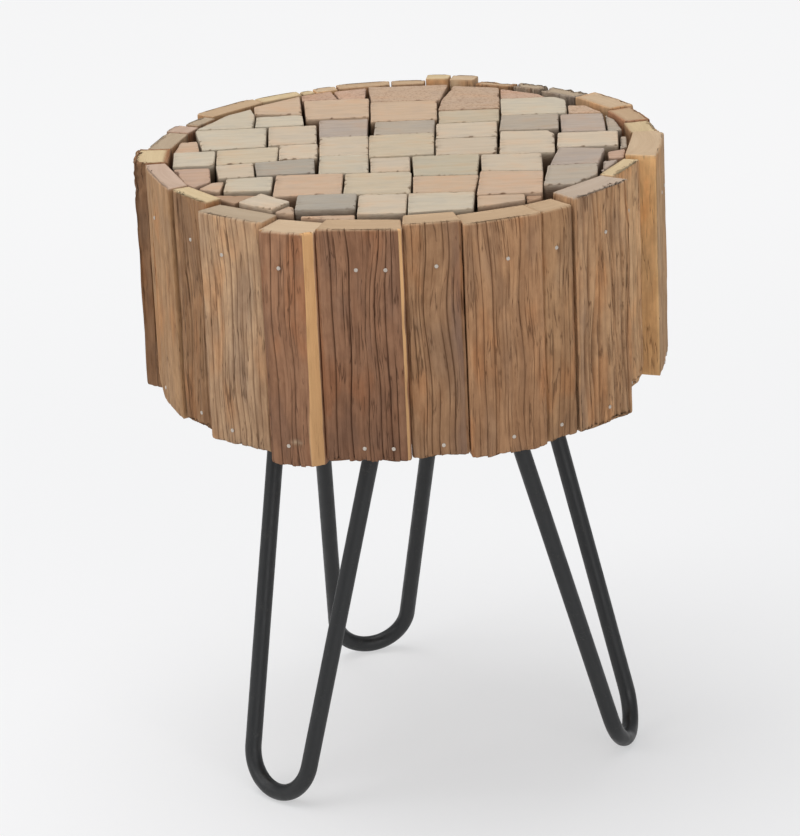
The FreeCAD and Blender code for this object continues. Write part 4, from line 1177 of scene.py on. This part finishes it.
spun_heads("upper_nails", "nails_upper", NAIL_PROFILE, nail_wire, NAIL_HEAD, False)
spun_heads("lower_nails", "nails_lower", NAIL_PROFILE, nail_wire, NAIL_HEAD, False)
spun_heads("leg_screws", "screws_of_the_legs", SCREW_PROFILE, dull_zinc, SCREW_HEAD, True)

# %% [markdown]
# ## Hairpin legs
# Each leg is one round rod, bent in the middle to a tight bow and leaned out, with its two ends welded
# under a plate. The solid has flats on its rods, so the rod is drawn again as a round tube along the
# same line. The line is an arc that runs into a straight at the point where the straight just
# touches the arc, as a rod does on a bending jig. A weld is a row of small overlapping drops, so a
# collar of lumps goes round each end of the rod, under the plate.

# %% Line of a hairpin
FOOT_RADIUS, TOP_RADIUS = 0.154, 0.081
TOP_SPREAD, BOW, ROD = 0.101, 0.029, 0.006
OVERRUN = 0.008
ARC_POINTS, STRAIGHT_POINTS = 26, 30
LEG_TURNS = {1: -14.0, 2: 106.0, 3: 226.0}
PLATE_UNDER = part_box("leg_plate_1")[0].z
lean = math.atan((FOOT_RADIUS - TOP_RADIUS) / (PLATE_UNDER - ROD))


def hairpin_line():
    """Centre line of the rod in its own leaning plane: sideways, and up the lean."""
    end = np.array([TOP_SPREAD / 2, (PLATE_UNDER - ROD) / math.cos(lean) + OVERRUN])
    reach = end - (0, BOW)
    touch = math.atan2(reach[1], reach[0]) - math.acos(BOW / np.linalg.norm(reach))
    angles = np.linspace(-math.pi / 2, touch, ARC_POINTS)
    arc = np.c_[np.cos(angles) * BOW, np.sin(angles) * BOW + BOW]
    straight = arc[-1] + np.linspace(0, 1, STRAIGHT_POINTS)[1:, None] * (end - arc[-1])
    half = np.r_[arc, straight]
    return np.r_[(half * (-1, 1))[:0:-1], half]


print("hairpin of", len(hairpin_line()), "points, lean", round(math.degrees(lean), 1), "degrees")

# %% Bend the rods
# Rings of a weld: drop below the plate, and width beyond the rod.
WELD_RINGS = ((0.0042, 0.0001), (0.0030, 0.0012), (0.0018, 0.0023), (0.0006, 0.0030), (0.0, 0.0031))
ROD_SIDES = 28


def turned_point(turn, sideways, out, up):
    """Points given as sideways, out and up on one leg, turned to that leg's place."""
    angle = math.radians(turn)
    x = out * math.cos(angle) - sideways * math.sin(angle)
    y = out * math.sin(angle) + sideways * math.cos(angle)
    return np.c_[x, y, up]


def rod_rings(number, line, turns):
    """Rings of the tube along the hairpin line, its ends cut level under the plate."""
    ahead = np.gradient(line, axis=0)
    ahead /= np.linalg.norm(ahead, axis=1)[:, None]
    rings = []
    for place, (forward, centre) in enumerate(zip(ahead, line)):
        worn = 1 + 0.004 * wander(number + 3, np.cos(turns) * 1.5 + place * 0.3, np.sin(turns) * 1.5)
        flat = centre + np.outer(np.cos(turns) * ROD * worn, (-forward[1], forward[0]))
        depth = np.sin(turns) * ROD * worn
        out = FOOT_RADIUS - math.sin(lean) * flat[:, 1] + math.cos(lean) * depth
        up = ROD + math.cos(lean) * flat[:, 1] + math.sin(lean) * depth
        over = np.maximum(up - PLATE_UNDER, 0)
        rings.append(turned_point(LEG_TURNS[number], flat[:, 0], out + over * math.tan(lean), up - over))
    return rings


def weld_rings(number, side, turns):
    """A collar of weld drops round one end of the rod."""
    rings = []
    for drop, wider in WELD_RINGS:
        lump = 1 + 0.25 * np.abs(np.sin(turns * 5 + side + number)) * (drop > 0)
        radius = ROD + wider * lump
        out = TOP_RADIUS + drop * math.tan(lean) + np.sin(turns) * radius
        sideways = side * TOP_SPREAD / 2 + np.cos(turns) * radius
        up = np.full(len(turns), PLATE_UNDER - drop)
        rings.append(turned_point(LEG_TURNS[number], sideways, out, up))
    return [ring[::-1] for ring in rings]


def bend_leg(number):
    """The rod of one leg with its two welds."""
    turns = np.linspace(0, 2 * math.pi, ROD_SIDES, endpoint=False)
    rod = rod_rings(number, hairpin_line(), turns)
    welds = [weld_rings(number, side, turns) for side in (-1, 1)]
    points, faces = joined_skins([rod, *welds])
    piece = make_piece(f"hairpin_{number}", points, faces, {}, black_paint)
    return stands_for(piece, f"hairpin_leg_{number}")


legs = [bend_leg(number) for number in LEG_TURNS]
print(len(legs), "hairpins bent,", sum(len(piece.data.polygons) for piece in legs), "faces")

# %% [markdown]
# ## Inside the drum
# Two boards, three posts and three steel plates stay as their solids are, for they hardly show. They
# still need a finish of their own, because the underside can be seen when the table lies on its side.
# Aged softwood has long tan streaks, a few darker ones and small pores. The plates take the paint of
# the legs, and a Bevel modifier takes the sharpness off their edges.

# %% Plain softwood
LYING_GRAIN = (0.0, math.radians(90), math.radians(4))
softwood, tree, shader = new_finish("plain_softwood")
place = add(tree, "TexCoord", {}).outputs["Object"]
lying = add(tree, "Mapping", {"Vector": place, "Rotation": LYING_GRAIN}).outputs[0]
bands = grainy(tree, lying, 120.0, 5.0, 3.0)
fibres = grainy(tree, lying, 900.0, 40.0, 3.0)
colour = mix(tree, levels(tree, bands, 0.35, 0.68), paint(170, 142, 108), paint(140, 110, 80))
colour = mix(tree, levels(tree, fibres, 0.55, 0.75, 0.0, 0.5), colour, paint(112, 86, 62))
tree.links.new(colour, shader.inputs["Base Color"])
join(tree, levels(tree, bands, 0.3, 0.7, 0.85, 0.68), shader.inputs["Roughness"])
bumped(tree, shader, sums(tree, "ADD", bands, sums(tree, "MULTIPLY", fibres, 0.5)), 0.0006, 0.5)
print("softwood ready")

# %% Finish the solids that stay
SOFT_EDGE = 0.0005


def finish_solid(name, finish):
    """Gives a solid that stays in view its finish and softly broken edges."""
    solid = nodes[name]
    solid.data.materials.clear()
    solid.data.materials.append(finish)
    bevel = solid.modifiers.new("soft_edges", "BEVEL")
    bevel.width = SOFT_EDGE
    bevel.segments = 2
    bevel.limit_method = "ANGLE"


inner = ["base_board", "deck_board", "spacer_post_1", "spacer_post_2", "spacer_post_3"]
plates = ["leg_plate_1", "leg_plate_2", "leg_plate_3"]
for name in inner + plates:
    finish_solid(name, black_paint if name in plates else softwood)
print(len(inner), "wooden pieces and", len(plates), "plates finished")

# %% [markdown]
# ## Last step
# The scene is brought up to date, so every piece stands where it was put.

# %% Bring the scene up to date
bpy.context.view_layer.update()
